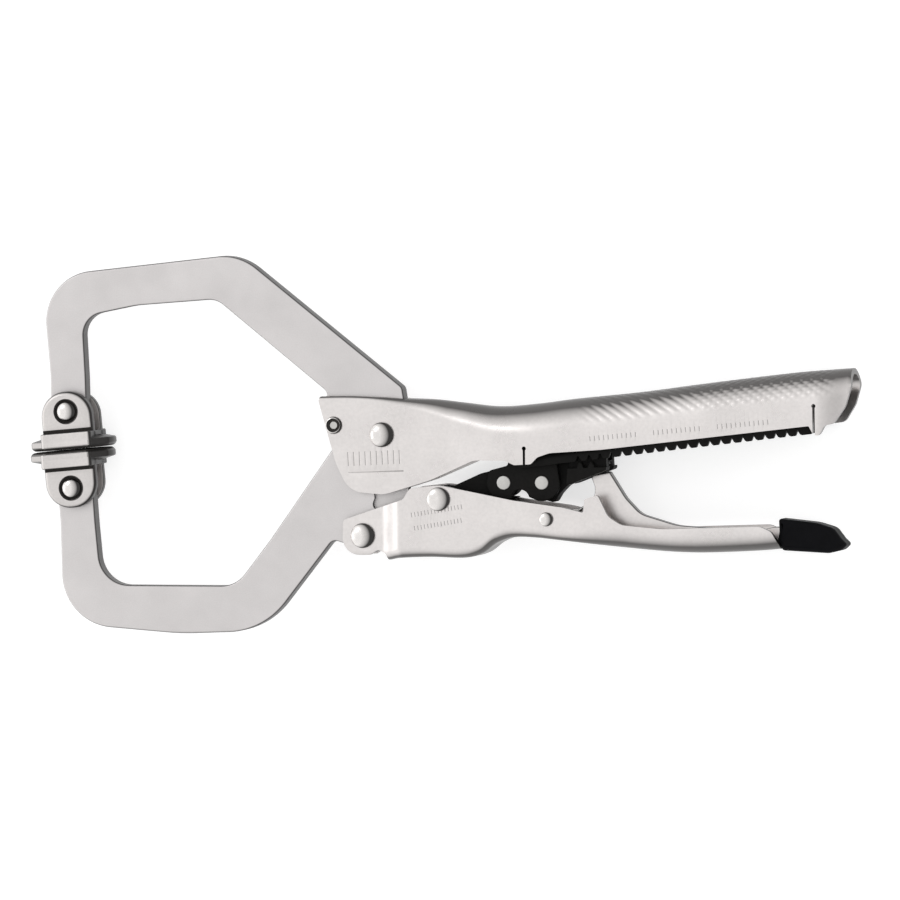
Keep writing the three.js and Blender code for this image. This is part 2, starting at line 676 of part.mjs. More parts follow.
function meshFor(name, body, finish) {
  const { vertProperties, triVerts, numProp } = body.getMesh();
  const positions = [];
  for (let i = 0; i < vertProperties.length; i += numProp) {
    positions.push(vertProperties[i], vertProperties[i + 1], vertProperties[i + 2]);
  }
  const geometry = new THREE.BufferGeometry();
  geometry.setAttribute("position", new THREE.Float32BufferAttribute(positions, 3));
  geometry.setIndex([...triVerts]);
  const creased = toCreasedNormals(geometry, THREE.MathUtils.degToRad(32));
  const mesh = new THREE.Mesh(creased, new THREE.MeshStandardMaterial(finish));
  mesh.name = name;
  return mesh;
}

function fixedPieces() {
  const anchor = rackPoint(ANCHOR_ALONG, SPRING_LINE);
  const padSeat = EAR_OUTER - 1 + GAP;
  return [
    meshFor("upper_handle", upperHandle(), STEEL),
    meshFor("upper_jaw", upperJaw(), JAW_STEEL),
    meshFor("front_rivet", frontRivet(), RIVET_STEEL),
    meshFor("jaw_pivot_rivet", rivet(JAW_PIVOT, MAIN_PIN, MAIN_HEAD, 5.6, 1.9), RIVET_STEEL),
    meshFor("rack", rack(), BLACK_STEEL),
    meshFor("spring_anchor", pin(anchor, 1.4, RACK_OUTER), RIVET_STEEL),
    meshFor("return_spring", returnSpring(), SPRING_STEEL),
    meshFor("upper_pad_rivet", rivet(UPPER_PAD_PIVOT, 2.2, 3.2, padSeat, 1.5), RIVET_STEEL),
  ];
}

function lowerJawPieces() {
  const padSeat = EAR_OUTER - 1 + GAP;
  return [
    meshFor("lower_jaw", lowerJaw(), JAW_STEEL),
    meshFor("lever_rivet", rivet(LEVER_PIVOT, MAIN_PIN, MAIN_HEAD, 5.6, 1.9), RIVET_STEEL),
    meshFor("lower_pad_rivet", rivet(LOWER_PAD_PIVOT, 2.2, 3.2, padSeat, 1.5), RIVET_STEEL),
  ];
}

function leverPieces() {
  const outside = LEVER_HALF + GAP;
  const wall = LEVER_HALF - SHEET - GAP;
  const spacer = JAW_HALF + GAP;
  const thin = RELEASE_HALF + GAP;
  return [
    meshFor("lower_handle", lowerHandle(), STEEL),
    meshFor("link_rivet", rivet(LINK_PIVOT, MAIN_PIN, MAIN_HEAD, outside, 1.4), RIVET_STEEL),
    meshFor("link_spacer_near", washer(LINK_PIVOT, MAIN_HOLE, 4.2, spacer, wall), BLACK_STEEL),
    meshFor("link_spacer_far", washer(LINK_PIVOT, MAIN_HOLE, 4.2, -wall, -spacer), BLACK_STEEL),
    meshFor("release_rivet", rivet(RELEASE_PIVOT, 1.6, 2.3, outside, 1.1), RIVET_STEEL),
    meshFor("release_spacer_near", washer(RELEASE_PIVOT, 1.9, 2.6, thin, wall), SPRING_STEEL),
    meshFor("release_spacer_far", washer(RELEASE_PIVOT, 1.9, 3.3, -wall, -thin), SPRING_STEEL),
    meshFor("release_spring", releaseSpring(), SPRING_STEEL),
  ];
}

function linkagePieces() {
  const guide = rackPoint(GUIDE_ALONG, SPRING_LINE);
  return [
    meshFor("toggle_link", toggleLink(), BLACK_STEEL),
    meshFor("shuttle_cheek_near", cheek(CHEEK_INNER, CHEEK_OUTER, NEAR_NOTCH), BLACK_STEEL),
    meshFor("shuttle_cheek_far", cheek(-CHEEK_OUTER, -CHEEK_INNER, FAR_NOTCH), BLACK_STEEL),
    meshFor("shuttle_front_pin", pin(SHUTTLE_PIVOT, SMALL_PIN, 6.2), RIVET_STEEL),
    meshFor("shuttle_rear_pin", pin(PAWL_PIVOT, SMALL_PIN, 6.2), RIVET_STEEL),
    meshFor("guide_pin", pin(guide, 1.4, RACK_OUTER), RIVET_STEEL),
    meshFor("pawl", pawl(), BLACK_STEEL),
    meshFor("pawl_spring", pawlSpring(), SPRING_STEEL),
    meshFor("release_lever", releaseLever(), STEEL),
    meshFor("release_tip", releaseTip(), VINYL),
  ];
}

function padPieces() {
  return [
    meshFor("upper_pad", placedPad(UPPER_PAD_PIVOT, PAD_TILT), JAW_STEEL),
    meshFor("lower_pad", placedPad(LOWER_PAD_PIVOT, Math.PI + PAD_TILT), JAW_STEEL),
  ];
}

const pliers = new THREE.Group();
pliers.name = "locking_c_clamp";
pliers.add(...fixedPieces(), ...lowerJawPieces(), ...leverPieces());
pliers.add(...linkagePieces(), ...padPieces());

// The origin is under the middle of the tool, on the surface it lies on
for (const mesh of pliers.children) {
  mesh.geometry.translate(...FRAME_SHIFT);
}

export default pliers;
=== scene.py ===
import math

import bpy
from mathutils import Matrix, Vector
from mathutils.geometry import tessellate_polygon


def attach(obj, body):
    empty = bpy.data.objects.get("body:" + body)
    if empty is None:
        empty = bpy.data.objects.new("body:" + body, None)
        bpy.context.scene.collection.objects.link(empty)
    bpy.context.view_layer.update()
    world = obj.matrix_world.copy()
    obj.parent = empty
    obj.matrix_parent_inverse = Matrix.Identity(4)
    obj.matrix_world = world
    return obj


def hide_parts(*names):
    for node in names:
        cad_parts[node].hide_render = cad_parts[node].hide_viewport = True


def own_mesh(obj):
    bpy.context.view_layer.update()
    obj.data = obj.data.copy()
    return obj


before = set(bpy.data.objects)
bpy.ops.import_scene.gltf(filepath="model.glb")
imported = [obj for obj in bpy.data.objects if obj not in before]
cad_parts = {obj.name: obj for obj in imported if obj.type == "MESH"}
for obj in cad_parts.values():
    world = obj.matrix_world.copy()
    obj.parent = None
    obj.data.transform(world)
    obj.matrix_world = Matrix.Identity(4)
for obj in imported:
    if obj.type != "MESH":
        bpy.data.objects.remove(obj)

# Lengths are millimetres in the tool's own layout: X runs from the jaws to the grips, Y from the lower
# handle to the upper one, and Z is 0 half way through the tool. placed() turns them into frame metres.
SHIFT = (0.39, 0.49, 10.5)

# Pivots, seen from the near side.
JAW = (-19.55, 2.98)
LEVER = (-26.38, -30.47)
LINK = (0.44, -18.2)
SHUTTLE = (21.98, -12.9)
PAWL = (34.96, -12.9)
RELEASE = (37.07, -24.84)
UPPER_PAD = (-127.6, 10.75)
LOWER_PAD = (-126.1, -14.7)
FRONT_RIVET = (-35.95, 6.13)

# Sheet thickness, half widths of the handles and half thicknesses of the plates. BEYOND clears them all.
SHEET = 2.0
NOSE_HALF = 5.3
GRIP_HALF = 10.5
LEVER_HALF = 8.7
JAW_HALF = 3.0
LAP_HALF = 1.5
RELEASE_HALF = 2.0
TIP_HALF = 4.5
SLOT_HALF = 3.3
BEYOND = 13

# Holes, and the rounding of cut edges.
RIVET_BORE = 2.8
HOLLOW_RIVET_BORE = 2.6
PIN_BORE = 2.0
WIRE_PIN_BORE = 1.7
LINK_CLEARANCE = 3.1
RELEASE_BORE = 1.9
SHEET_EDGE = 0.8
LAP_EDGE = 0.4
PLATE_EDGE = 0.55
HOLE_EDGE = 0.25

# Rivets are (shank radius, head radius, height of the seat, rise of the head).
MAIN_RIVET = (2.5, 4.1, 5.6, 1.9)
LINK_RIVET = (2.5, 3.9, 9.0, 1.4)
RELEASE_RIVET = (1.6, 2.3, 9.0, 1.1)
PAD_RIVET = (2.2, 3.2, 6.1, 1.5)
RIVET_RIM = 0.35

# The rack runs up a slope through the shuttle's front pin.
SLOPE = math.radians(6.48)
PITCH = 3.75
TOOTH_TIPS = 4.2
TOOTH_DEPTH = 1.7
FIRST_NOTCH = 26.75
RACK_START = 6
RACK_END = 106.5
RACK_BACK = 14.5
RACK_INNER = 6.2
RACK_OUTER = 8.2
GUIDE_AT = 14
ANCHOR_AT = 99
SPRING_LINE = 9.6
CROSS_PIN = 1.4

# The shuttle and the pawl, which hangs clear of the rack at rest.
CHEEK_INNER = 3.3
CHEEK_OUTER = 5.8
CHEEK_TOP = 12.2
NEAR_NOTCH = 27.5
FAR_NOTCH = 25.4
NOTCH_Y = -18.3
NOTCH_RADIUS = 3.1
SHUTTLE_PIN = 1.7
SHUTTLE_PIN_HALF = 6.2
PAWL_DROP = math.radians(-4)
PAWL_TIP = 4.8
PAWL_ROOT = 2.9

# Springs.
WIRE_RADIUS = 0.4
RETURN_LOOP = 2.3
RETURN_TURNS = 44
RETURN_STRETCH = (19, 94)

# Pressed marks and the knurl.
KNURL_PITCH = 2.1
KNURL_DEPTH = 0.14
KNURL_WIDTH = 0.8
KNURL_LEAN = (0.62, 0.78)
STROKE_HALF = 0.3
STROKE_DEPTH = 0.16

# Pads: across and up are measured from the middle of the gripping face.
PAD_TILT = math.radians(4.8)
PAD_REACH = 12.55
FOOT_HALF = 10.5
FOOT_REACH = 14.2
FOOT_CORNER = (7.7 + FOOT_HALF) / math.sqrt(2)
SADDLE_HALF = 8.7
SADDLE_TOP = 5.6
EAR_INNER = 3.3
EAR_OUTER = 6.8
EAR_TOP = PAD_REACH + 6.6
EAR_BORE = 2.5
COUNTERBORE = 3.85
COUNTERBORE_FLOOR = 5.8

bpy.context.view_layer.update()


# ---------------------------------------------------------------- finishes

def node(tree, kind, **settings):
    made = tree.nodes.new(kind)
    for key, value in settings.items():
        setattr(made, key, value)
    return made


# Painted shade: faces that turn away from the plate's flat get a darker colour, those on the right more
# than those on the left, as if lit from the left.
PAINTED_LEFT_LIGHT = 0.35
PAINTED_FLANK_SHADE = (0.70, 1.0)
BROAD_SCALE = 60
MIDDLE = (0.3, 0.7)
FINE_MIDDLE = (0.35, 0.75)


def finish(name, colour, roughness, spread, grain, bump, wear, side=1.0, metallic=1.0,
           specular=0.5, painted_shade_lean=PAINTED_LEFT_LIGHT):
    """A surface with an uneven sheen, a fine grain, tone that varies at random, and painted shade on its
    sheared or rolled sides.
    """
    material = bpy.data.materials.new(name)
    material.use_nodes = True
    tree = material.node_tree
    shader = tree.nodes["Principled BSDF"]
    shader.inputs["Metallic"].default_value = metallic
    shader.inputs["Specular IOR Level"].default_value = specular
    coords = node(tree, "ShaderNodeTexCoord")
    fine = noise(tree, coords.outputs["Object"], grain, 4)
    broad = noise(tree, coords.outputs["Object"], BROAD_SCALE, 3)
    sheen = spread_out(tree, broad, MIDDLE, (roughness - spread, roughness + spread))
    tree.links.new(sheen, shader.inputs["Roughness"])
    # The colour level: random tone from the two noises, times the painted shade on faces turned away from
    # Z.
    level = product(tree, [
        spread_out(tree, fine, FINE_MIDDLE, (1, 1 - wear)),
        spread_out(tree, broad, MIDDLE, (1 - wear, 1)),
        spread_out(tree, painted_shade_facing(tree, coords, painted_shade_lean), PAINTED_FLANK_SHADE, (side, 1))])
    tint = node(tree, "ShaderNodeMix", data_type="RGBA")
    tint.inputs[6].default_value = (0, 0, 0, 1)
    tint.inputs[7].default_value = (*colour, 1)
    tree.links.new(level, tint.inputs[0])
    tree.links.new(tint.outputs[2], shader.inputs["Base Color"])
    lift = node(tree, "ShaderNodeBump")
    lift.inputs["Strength"].default_value = 1.0
    lift.inputs["Distance"].default_value = bump
    tree.links.new(fine, lift.inputs["Height"])
    tree.links.new(lift.outputs["Normal"], shader.inputs["Normal"])
    return material


def painted_shade_facing(tree, coords, painted_shade_lean):
    """How squarely a face looks along Z, lowered for faces that look to the right: the mask of the
    painted shade.
    """
    slope = node(tree, "ShaderNodeSeparateXYZ")
    tree.links.new(coords.outputs["Normal"], slope.inputs[0])
    square = node(tree, "ShaderNodeMath", operation="ABSOLUTE")
    tree.links.new(slope.outputs["Z"], square.inputs[0])
    lean = node(tree, "ShaderNodeMath", operation="MULTIPLY_ADD")
    tree.links.new(slope.outputs["X"], lean.inputs[0])
    lean.inputs[1].default_value = -painted_shade_lean
    tree.links.new(square.outputs[0], lean.inputs[2])
    return lean.outputs[0]


def product(tree, levels):
    level = levels[0]
    for other in levels[1:]:
        times = node(tree, "ShaderNodeMath", operation="MULTIPLY")
        tree.links.new(level, times.inputs[0])
        tree.links.new(other, times.inputs[1])
        level = times.outputs[0]
    return level


def noise(tree, vector, scale, detail):
    made = node(tree, "ShaderNodeTexNoise")
    made.inputs["Scale"].default_value = scale
    made.inputs["Detail"].default_value = detail
    made.inputs["Roughness"].default_value = 0.6
    tree.links.new(vector, made.inputs["Vector"])
    return made.outputs["Fac"]


def spread_out(tree, value, source, target):
    """Stretches a range of values over another one."""
    made = node(tree, "ShaderNodeMapRange")
    for i, number in enumerate((*source, *target)):
        made.inputs[i + 1].default_value = number
    tree.links.new(value, made.inputs[0])
    return made.outputs[0]


# side is how dark the painted shade makes faces turned away from Z; the rivets' painted shade is stronger
# on their right side.
NICKEL = finish("nickel_pressing", (0.80, 0.765, 0.75), 0.30, 0.05, 900, 0.000005, 0.08, side=0.14)
JAW_PLATE = finish("satin_jaw_plate", (0.68, 0.655, 0.65), 0.42, 0.04, 2600, 0.00002, 0.08, side=0.12)
PAD_STEEL = finish("pad_steel", (0.70, 0.67, 0.655), 0.36, 0.06, 1500, 0.000012, 0.1, side=0.06)
RIVET = finish("bright_rivet", (0.84, 0.81, 0.79), 0.22, 0.05, 1200, 0.000004, 0.06, side=0.05,
               painted_shade_lean=0.6)
PIN_END = finish("turned_pin", (0.62, 0.61, 0.59), 0.5, 0.05, 1500, 0.00001, 0.1, side=0.4)
BLACK = finish("black_oxide", (0.012, 0.0115, 0.011), 0.5, 0.08, 1100, 0.00001, 0.3,
               metallic=0.0, specular=0.05)
WIRE = finish("spring_wire", (0.5, 0.49, 0.48), 0.3, 0.05, 1500, 0.000004, 0.1, side=0.4)
VINYL = finish("dipped_vinyl", (0.006, 0.006, 0.007), 0.42, 0.06, 500, 0.00002, 0.2,
               metallic=0.0, specular=0.03)
# A flat dark colour painted where shade falls: recesses, the gap between the pads and the front rivet's
# mouth.
SHADOW = finish("painted_shadow_dark", (0.035, 0.032, 0.03), 0.6, 0.06, 900, 0.00001, 0.2,
                metallic=0.0, specular=0.05)


# ---------------------------------------------------------------- outlines

SAG = 0.012
COARSE_SAG = 0.02


def filleted(corners, sag=SAG):
    """Corners are (x, y) or (x, y, radius). Each radius becomes an arc of short chords."""
    points = []
    for i, corner in enumerate(corners):
        before = Vector(corners[i - 1][:2])
        after = Vector(corners[(i + 1) % len(corners)][:2])
        points.extend(fillet(before, corner, after, sag))
    kept = [p for i, p in enumerate(points) if (p - points[i - 1]).length > SAG]
    return anticlockwise(kept)


def fillet(before, corner, after, sag):
    """The points that stand in for one corner."""
    here = Vector(corner[:2])
    radius = corner[2] if len(corner) > 2 else 0
    back = (before - here).normalized()
    ahead = (after - here).normalized()
    half = math.acos(max(-1, min(1, back.dot(ahead)))) / 2
    sweep = math.pi - 2 * half
    if not radius or sweep < 0.01:
        return [here]
    start = here + back * (radius / math.tan(half))
    centre = here + (back + ahead).normalized() * (radius / math.sin(half))
    turning = back.x * ahead.y - back.y * ahead.x
    turn = -sweep if turning > 0 else sweep
    steps = max(2, math.ceil(sweep / (2 * math.acos(1 - min(0.5, sag / radius)))))
    return [Vector(turned(start, centre, turn * i / steps)) for i in range(steps + 1)]


def turned(point, centre, angle):
    dx = point[0] - centre[0]
    dy = point[1] - centre[1]
    c = math.cos(angle)
    s = math.sin(angle)
    return (centre[0] + dx * c - dy * s, centre[1] + dx * s + dy * c)


def anticlockwise(points):
    area = sum(p.x * q.y - q.x * p.y for p, q in zip(points, points[1:] + points[:1]))
    return points if area > 0 else points[::-1]


def arc(centre, radius, start, end, steps=40):
    turn = [math.radians(start + (end - start) * i / steps) for i in range(steps + 1)]
    return [(centre[0] + radius * math.cos(a), centre[1] + radius * math.sin(a)) for a in turn]


def inset(points, distance):
    """Moves an anticlockwise outline inwards."""
    moved = []
    count = len(points)
    for i, p in enumerate(points):
        a = (p - points[i - 1]).normalized()
        b = (points[(i + 1) % count] - p).normalized()
        normal = Vector((-a.y - b.y, a.x + b.x))
        if normal.length < 1e-6:
            normal = Vector((-a.y, a.x))
        normal.normalize()
        stretch = max(0.5, normal.dot(Vector((-a.y, a.x))))
        moved.append(p + normal * (distance / stretch))
    return moved


def on_rack(along, up):
    """A point given along and above the rack's line."""
    c = math.cos(SLOPE)
    s = math.sin(SLOPE)
    return (SHUTTLE[0] + along * c - up * s, SHUTTLE[1] + along * s + up * c)


def dropped(along, up):
    """A point of the engaged pawl, once the pawl has turned clear of the rack."""
    return turned(on_rack(along, up), PAWL, PAWL_DROP)


def height_at(points, x):
    """The height of a smooth curve through the points."""
    last = len(points) - 2
    i = next((k for k in range(last + 1) if x <= points[k + 1][0]), last)

    def slope(k):
        before = points[max(k - 1, 0)]
        after = points[min(k + 1, len(points) - 1)]
        return (after[1] - before[1]) / (after[0] - before[0])

    (x0, y0), (x1, y1) = points[i], points[i + 1]
    t = max(0, min(1, (x - x0) / (x1 - x0)))
    rise = y1 - y0
    entry = slope(i) * (x1 - x0)
    leave = slope(i + 1) * (x1 - x0)
    return y0 + rise * t + t * (1 - t) * ((1 - t) * (entry - rise) + t * (rise - leave))


def blend(x, start, end, low, high):
    """Eases from low to high while x goes from start to end."""
    t = max(0, min(1, (x - start) / (end - start)))
    return low + (high - low) * t * t * (3 - 2 * t)


# ---------------------------------------------------------------- meshes

def placed(points):
    return [tuple((p[i] + SHIFT[i]) / 1000 for i in range(3)) for p in points]


SHARP = 38


def mesh_object(name, points, faces, smooth=SHARP):
    mesh = bpy.data.meshes.new(name)
    mesh.from_pydata(placed(points), [], faces)
    mesh.validate()
    mesh.polygons.foreach_set("use_smooth", [True] * len(mesh.polygons))
    mesh.set_sharp_from_angle(angle=math.radians(smooth))
    obj = bpy.data.objects.new(name, mesh)
    bpy.context.scene.collection.objects.link(obj)
    return obj


def rounded_edge(low, high, radius, steps=3, top=None):
    """(inset, height) pairs up a plate's side, with both edges rounded."""
    top = radius if top is None else top
    side = []
    for i in range(steps + 1):
        a = math.pi / 2 * i / steps
        side.append((radius * (1 - math.sin(a)), low + radius * (1 - math.cos(a))))
    for i in range(steps + 1):
        a = math.pi / 2 * i / steps
        side.append((top * (1 - math.cos(a)), high - top * (1 - math.sin(a))))
    return side


def hole(centre, radius, low, high, edge=HOLE_EDGE, sides=40):
    """A round hole with softened mouths: (centre, (radius, height) pairs, sides)."""
    return (centre, [(radius + edge, low), (radius, low + edge),
                     (radius, high - edge), (radius + edge, high)], sides)


def slab_parts(outline, edge, holes=()):
    """Vertices and faces of a plate: an outline swept up its edge profile, with round holes."""
    points = []
    for distance, z in edge:
        points.extend((p.x, p.y, z) for p in inset(outline, distance))
    loops = [(0, len(outline), len(edge))]
    for centre, wall, sides in holes:
        loops.append((len(points), sides, len(wall)))
        for radius, z in wall:
            points.extend((*p, z) for p in ring(centre, radius, sides, -1))
    faces = []
    for base, size, levels in loops:
        faces.extend(wall_faces(base, size, levels))
    return points, faces + cap_faces(points, loops, False) + cap_faces(points, loops, True)


def ring(centre, radius, sides, way=1):
    turn = [way * 2 * math.pi * k / sides for k in range(sides)]
    return [(centre[0] + radius * math.cos(a), centre[1] + radius * math.sin(a)) for a in turn]


def wall_faces(base, size, levels):
    faces = []
    for level in range(levels - 1):
        for k in range(size):
            a = base + level * size + k
            b = base + level * size + (k + 1) % size
            faces.append((a, b, b + size, a + size))
    return faces


def cap_faces(points, loops, top):
    """The flat top or bottom of a plate, with its holes left open."""
    flat = []
    index = []
    for base, size, levels in loops:
        start = base + (levels - 1) * size if top else base
        ids = range(start, start + size)
        flat.append([Vector((points[i][0], points[i][1], 0)) for i in ids])
        index.extend(ids)
    faces = []
    for tri in tessellate_polygon(flat):
        a, b, c = (index[t] for t in tri)
        area = twice_area(points[a], points[b], points[c])
        if abs(area) > 1e-9:
            faces.append((a, b, c) if (area > 0) == top else (a, c, b))
    return faces


def twice_area(a, b, c):
    return (b[0] - a[0]) * (c[1] - a[1]) - (b[1] - a[1]) * (c[0] - a[0])


def slab(name, corners, edge, holes=()):
    points, faces = slab_parts(filleted(corners), edge, holes)
    return weighted(mesh_object(name, points, faces))


def plate(name, corners, half, edge, *bores):
    """A plate half way through the tool, with (centre, radius) holes."""
    holes = [hole(centre, radius, -half, half) for centre, radius in bores]
    return slab(name, corners, rounded_edge(-half, half, edge), holes)


def weighted(obj):
    fix = obj.modifiers.new("even shading", "WEIGHTED_NORMAL")
    fix.keep_sharp = True
    fix.weight = 100
    return obj


def lathe(name, centre, profile, sides=56, smooth=SHARP):
    """(radius, height) pairs turned about a Z axis through centre."""
    points = []
    rings = []
    for radius, z in profile:
        if radius < 1e-6:
            rings.append([len(points)])
            points.append((*centre, z))
        else:
            rings.append([len(points) + k for k in range(sides)])
            points.extend((*p, z) for p in ring(centre, radius, sides))
    faces = []
    for low, high in zip(rings, rings[1:]):
        for k in range(sides):
            after = (k + 1) % sides
            corners = (low[k % len(low)], low[after % len(low)],
                       high[after % len(high)], high[k % len(high)])
            faces.append(tuple(dict.fromkeys(corners)))
    return mesh_object(name, points, faces, smooth)


def mirrored(top):
    """A profile's lower half, then its upper half, for a piece that is the same on both sides."""
    return [(r, -z) for r, z in top] + top[::-1]


def rivet(name, centre, shank, head, seat, rise):
    """A rivet through the tool with a low dome at each end."""
    dome = []
    for i in range(13):
        a = math.pi / 2 * i / 12
        lift = (rise - RIVET_RIM) * math.cos(a) ** 1.15
        dome.append((head * math.sin(a), seat + RIVET_RIM + lift))
    top = [*dome, (head, seat + 0.12), (head - 0.15, seat), (shank, seat)]
    return lathe(name, centre, mirrored(top), smooth=45)


def pin(name, centre, radius, half, head=0.0, head_from=0.0):
    """A plain pin, or one whose ends are peened out over the plate they pass through."""
    if head:
        top = [(0, half), (head - 0.5, half), (head - 0.15, half - 0.08), (head, head_from + 0.12),
               (head - 0.1, head_from + 0.02), (radius, head_from + 0.02)]
    else:
        top = [(0, half), (radius - 0.25, half), (radius - 0.07, half - 0.07), (radius, half - 0.25)]
    return lathe(name, centre, mirrored(top), sides=40, smooth=35)


def joined(name, objects):
    first = objects[0]
    with bpy.context.temp_override(active_object=first, object=first,
                                   selected_objects=objects, selected_editable_objects=objects):
        bpy.ops.object.join()
    first.name = name
    first.data.name = name
    return first


def cut(obj, cutter, operation="DIFFERENCE"):
    step = obj.modifiers.new("cut", "BOOLEAN")
    step.operation = operation
    step.solver = "EXACT"
    step.object = cutter
    settle(obj)
    bpy.data.objects.remove(cutter)
    return obj


def settle(obj):
    """Bakes the modifiers of a mesh into it."""
    graph = bpy.context.evaluated_depsgraph_get()
    mesh = bpy.data.meshes.new_from_object(obj.evaluated_get(graph))
    obj.modifiers.clear()
    old = obj.data
    obj.data = mesh
    bpy.data.meshes.remove(old)


def cutter(corners, low=-BEYOND, high=BEYOND):
    points, faces = slab_parts(filleted(corners, COARSE_SAG), [(0, low), (0, high)])
    return mesh_object("cutter", points, faces)


def round_cutter(centre, radius, sides=48):
    walls = [(0, -BEYOND), (radius, -BEYOND), (radius, BEYOND), (0, BEYOND)]
    return lathe("cutter", centre, walls, sides)


WELD_DISTANCE = 0.04
BEVEL_ANGLE = 36


def soften(obj, width, segments=2):
    """Rounds the sharp edges of a cut sheet."""
    weld = obj.modifiers.new("weld", "WELD")
    weld.merge_threshold = WELD_DISTANCE / 1000
    bevel = obj.modifiers.new("round", "BEVEL")
    bevel.width = width / 1000
    bevel.segments = segments
    bevel.limit_method = "ANGLE"
    bevel.angle_limit = math.radians(BEVEL_ANGLE)
    bevel.use_clamp_overlap = True
    settle(obj)
    mesh = obj.data
    mesh.polygons.foreach_set("use_smooth", [True] * len(mesh.polygons))
    mesh.set_sharp_from_angle(angle=math.radians(SHARP))
    return weighted(obj)


def arch(x, crown, half, radius, foot, steps, bump=None):
    """One station of a channel, from one free edge round the closed side to the other."""
    side = 1 if crown > foot else -1
    near = [(x, foot + (crown - side * radius - foot) * k / 4, half) for k in range(4)]
    for i in range(steps + 1):
        a = math.pi / 2 * i / steps
        out = bump(x, radius * a) if bump else 0
        r = radius - out
        y = crown - side * radius + side * r * math.sin(a)
        near.append((x, y, half - radius + r * math.cos(a)))
    return near + [(x, y, -z) for _, y, z in reversed(near)]


def channel(name, stations):
    """A U-shaped sheet through (outer, inner) pairs of stations."""
    size = len(stations[0][0])
    points = [p for outer, inner in stations for p in (*outer, *inner)]
    faces = []

    def at(i, j, inner=0):
        return 2 * size * i + size * inner + j

    for i in range(len(stations) - 1):
        for j in range(size - 1):
            faces.append((at(i, j), at(i, j + 1), at(i + 1, j + 1), at(i + 1, j)))
            faces.append((at(i, j, 1), at(i + 1, j, 1), at(i + 1, j + 1, 1), at(i, j + 1, 1)))
        last = size - 1
        faces.append((at(i, 0), at(i + 1, 0), at(i + 1, 0, 1), at(i, 0, 1)))
        faces.append((at(i, last), at(i, last, 1), at(i + 1, last, 1), at(i + 1, last)))
    end = len(stations) - 1
    for j in range(size - 1):
        faces.append((at(0, j), at(0, j, 1), at(0, j + 1, 1), at(0, j + 1)))
        faces.append((at(end, j), at(end, j + 1), at(end, j + 1, 1), at(end, j, 1)))
    obj = mesh_object(name, points, faces)
    if volume(obj.data) < 0:
        obj.data.flip_normals()
    return obj


def volume(mesh):
    """Six times the signed volume, below 0 when the faces look inwards."""
    mesh.calc_loop_triangles()
    total = 0
    for triangle in mesh.loop_triangles:
        a, b, c = (mesh.vertices[i].co for i in triangle.vertices)
        total += a.dot(b.cross(c))
    return total


def wire(name, points, radius):
    """A round wire along a run of points."""
    curve = bpy.data.curves.new(name, "CURVE")
    curve.dimensions = "3D"
    curve.bevel_depth = radius / 1000
    curve.bevel_resolution = 3
    curve.use_fill_caps = True
    line = curve.splines.new("POLY")
    line.points.add(len(points) - 1)
    for knot, p in zip(line.points, placed(points)):
        knot.co = (*p, 1)
    holder = bpy.data.objects.new(name, curve)
    bpy.context.scene.collection.objects.link(holder)
    graph = bpy.context.evaluated_depsgraph_get()
    mesh = bpy.data.meshes.new_from_object(holder.evaluated_get(graph))
    bpy.data.objects.remove(holder)
    mesh.polygons.foreach_set("use_smooth", [True] * len(mesh.polygons))
    obj = bpy.data.objects.new(name, mesh)
    bpy.context.scene.collection.objects.link(obj)
    return obj


# ---------------------------------------------------------------- pressed handles

UPPER_CROWN = [(-46, 15.5), (-30, 15.7), (-13, 14.9), (-1, 14.4), (8, 13.4), (20, 12.2), (33, 13.1),
               (45, 14.6), (68, 16.9), (89, 19.6), (110, 22.1), (124, 23.6), (146, 25.1)]

LOWER_CROWN = [(-36, -39), (-18, -38.6), (-14, -37.9), (-3, -37.5), (9, -37.7), (14.8, -36.2),
               (19.6, -32.8), (25, -31.0), (32, -31.0), (40, -31.8), (60, -34.2), (78, -35.8),
               (90, -36.1), (108, -35.4), (118, -34.6)]


def groove(distance):
    """1 at the middle of each groove and 0 between grooves."""
    gap = abs((distance / KNURL_PITCH) % 1 - 0.5) * KNURL_PITCH
    return max(0.0, 1 - gap / KNURL_WIDTH) ** 1.5


def knurl(x, arc_length):
    """Shallow slanting grooves over the grip's rounded back, crossed towards its end."""
    along = blend(x, 46, 58, 0, 1) * blend(x, 131, 137, 1, 0)
    around = blend(arc_length, 0.8, 3.2, 0, 1)
    run = x * KNURL_LEAN[0]
    climb = arc_length * KNURL_LEAN[1]
    crossing = blend(x, 80, 96, 0, 1)
    depth = max(groove(run + climb), groove(run - climb) * crossing)
    return KNURL_DEPTH * along * around * depth


def strokes(surface, lines):
    """A cutter for shallow V-shaped strokes pressed into a flat near wall at height surface."""
    points = []
    faces = []
    for start, end in lines:
        length = math.dist(start, end)
        dx = -(end[1] - start[1]) / length * STROKE_HALF
        dy = (end[0] - start[0]) / length * STROKE_HALF
        k = len(points)
        for x, y in (start, end):
            points.append((x - dx, y - dy, surface + 0.02))
            points.append((x + dx, y + dy, surface + 0.02))
            points.append((x, y, surface - STROKE_DEPTH))
        faces += [(k, k + 3, k + 4, k + 1), (k, k + 2, k + 5, k + 3), (k + 1, k + 4, k + 5, k + 2),
                  (k, k + 1, k + 2), (k + 3, k + 5, k + 4)]
    return mesh_object("strokes", points, faces)


def tally(start, end, height, pitch, gaps=()):
    """Upright strokes side by side along a line, with the numbered ones left out."""
    length = math.dist(start, end)
    along = ((end[0] - start[0]) / length, (end[1] - start[1]) / length)
    lines = []
    for i in range(int(length / pitch) + 1):
        if i in gaps:
            continue
        x = start[0] + along[0] * i * pitch
        y = start[1] + along[1] * i * pitch
        lines.append(((x, y), (x - along[1] * height, y + along[0] * height)))
    return lines


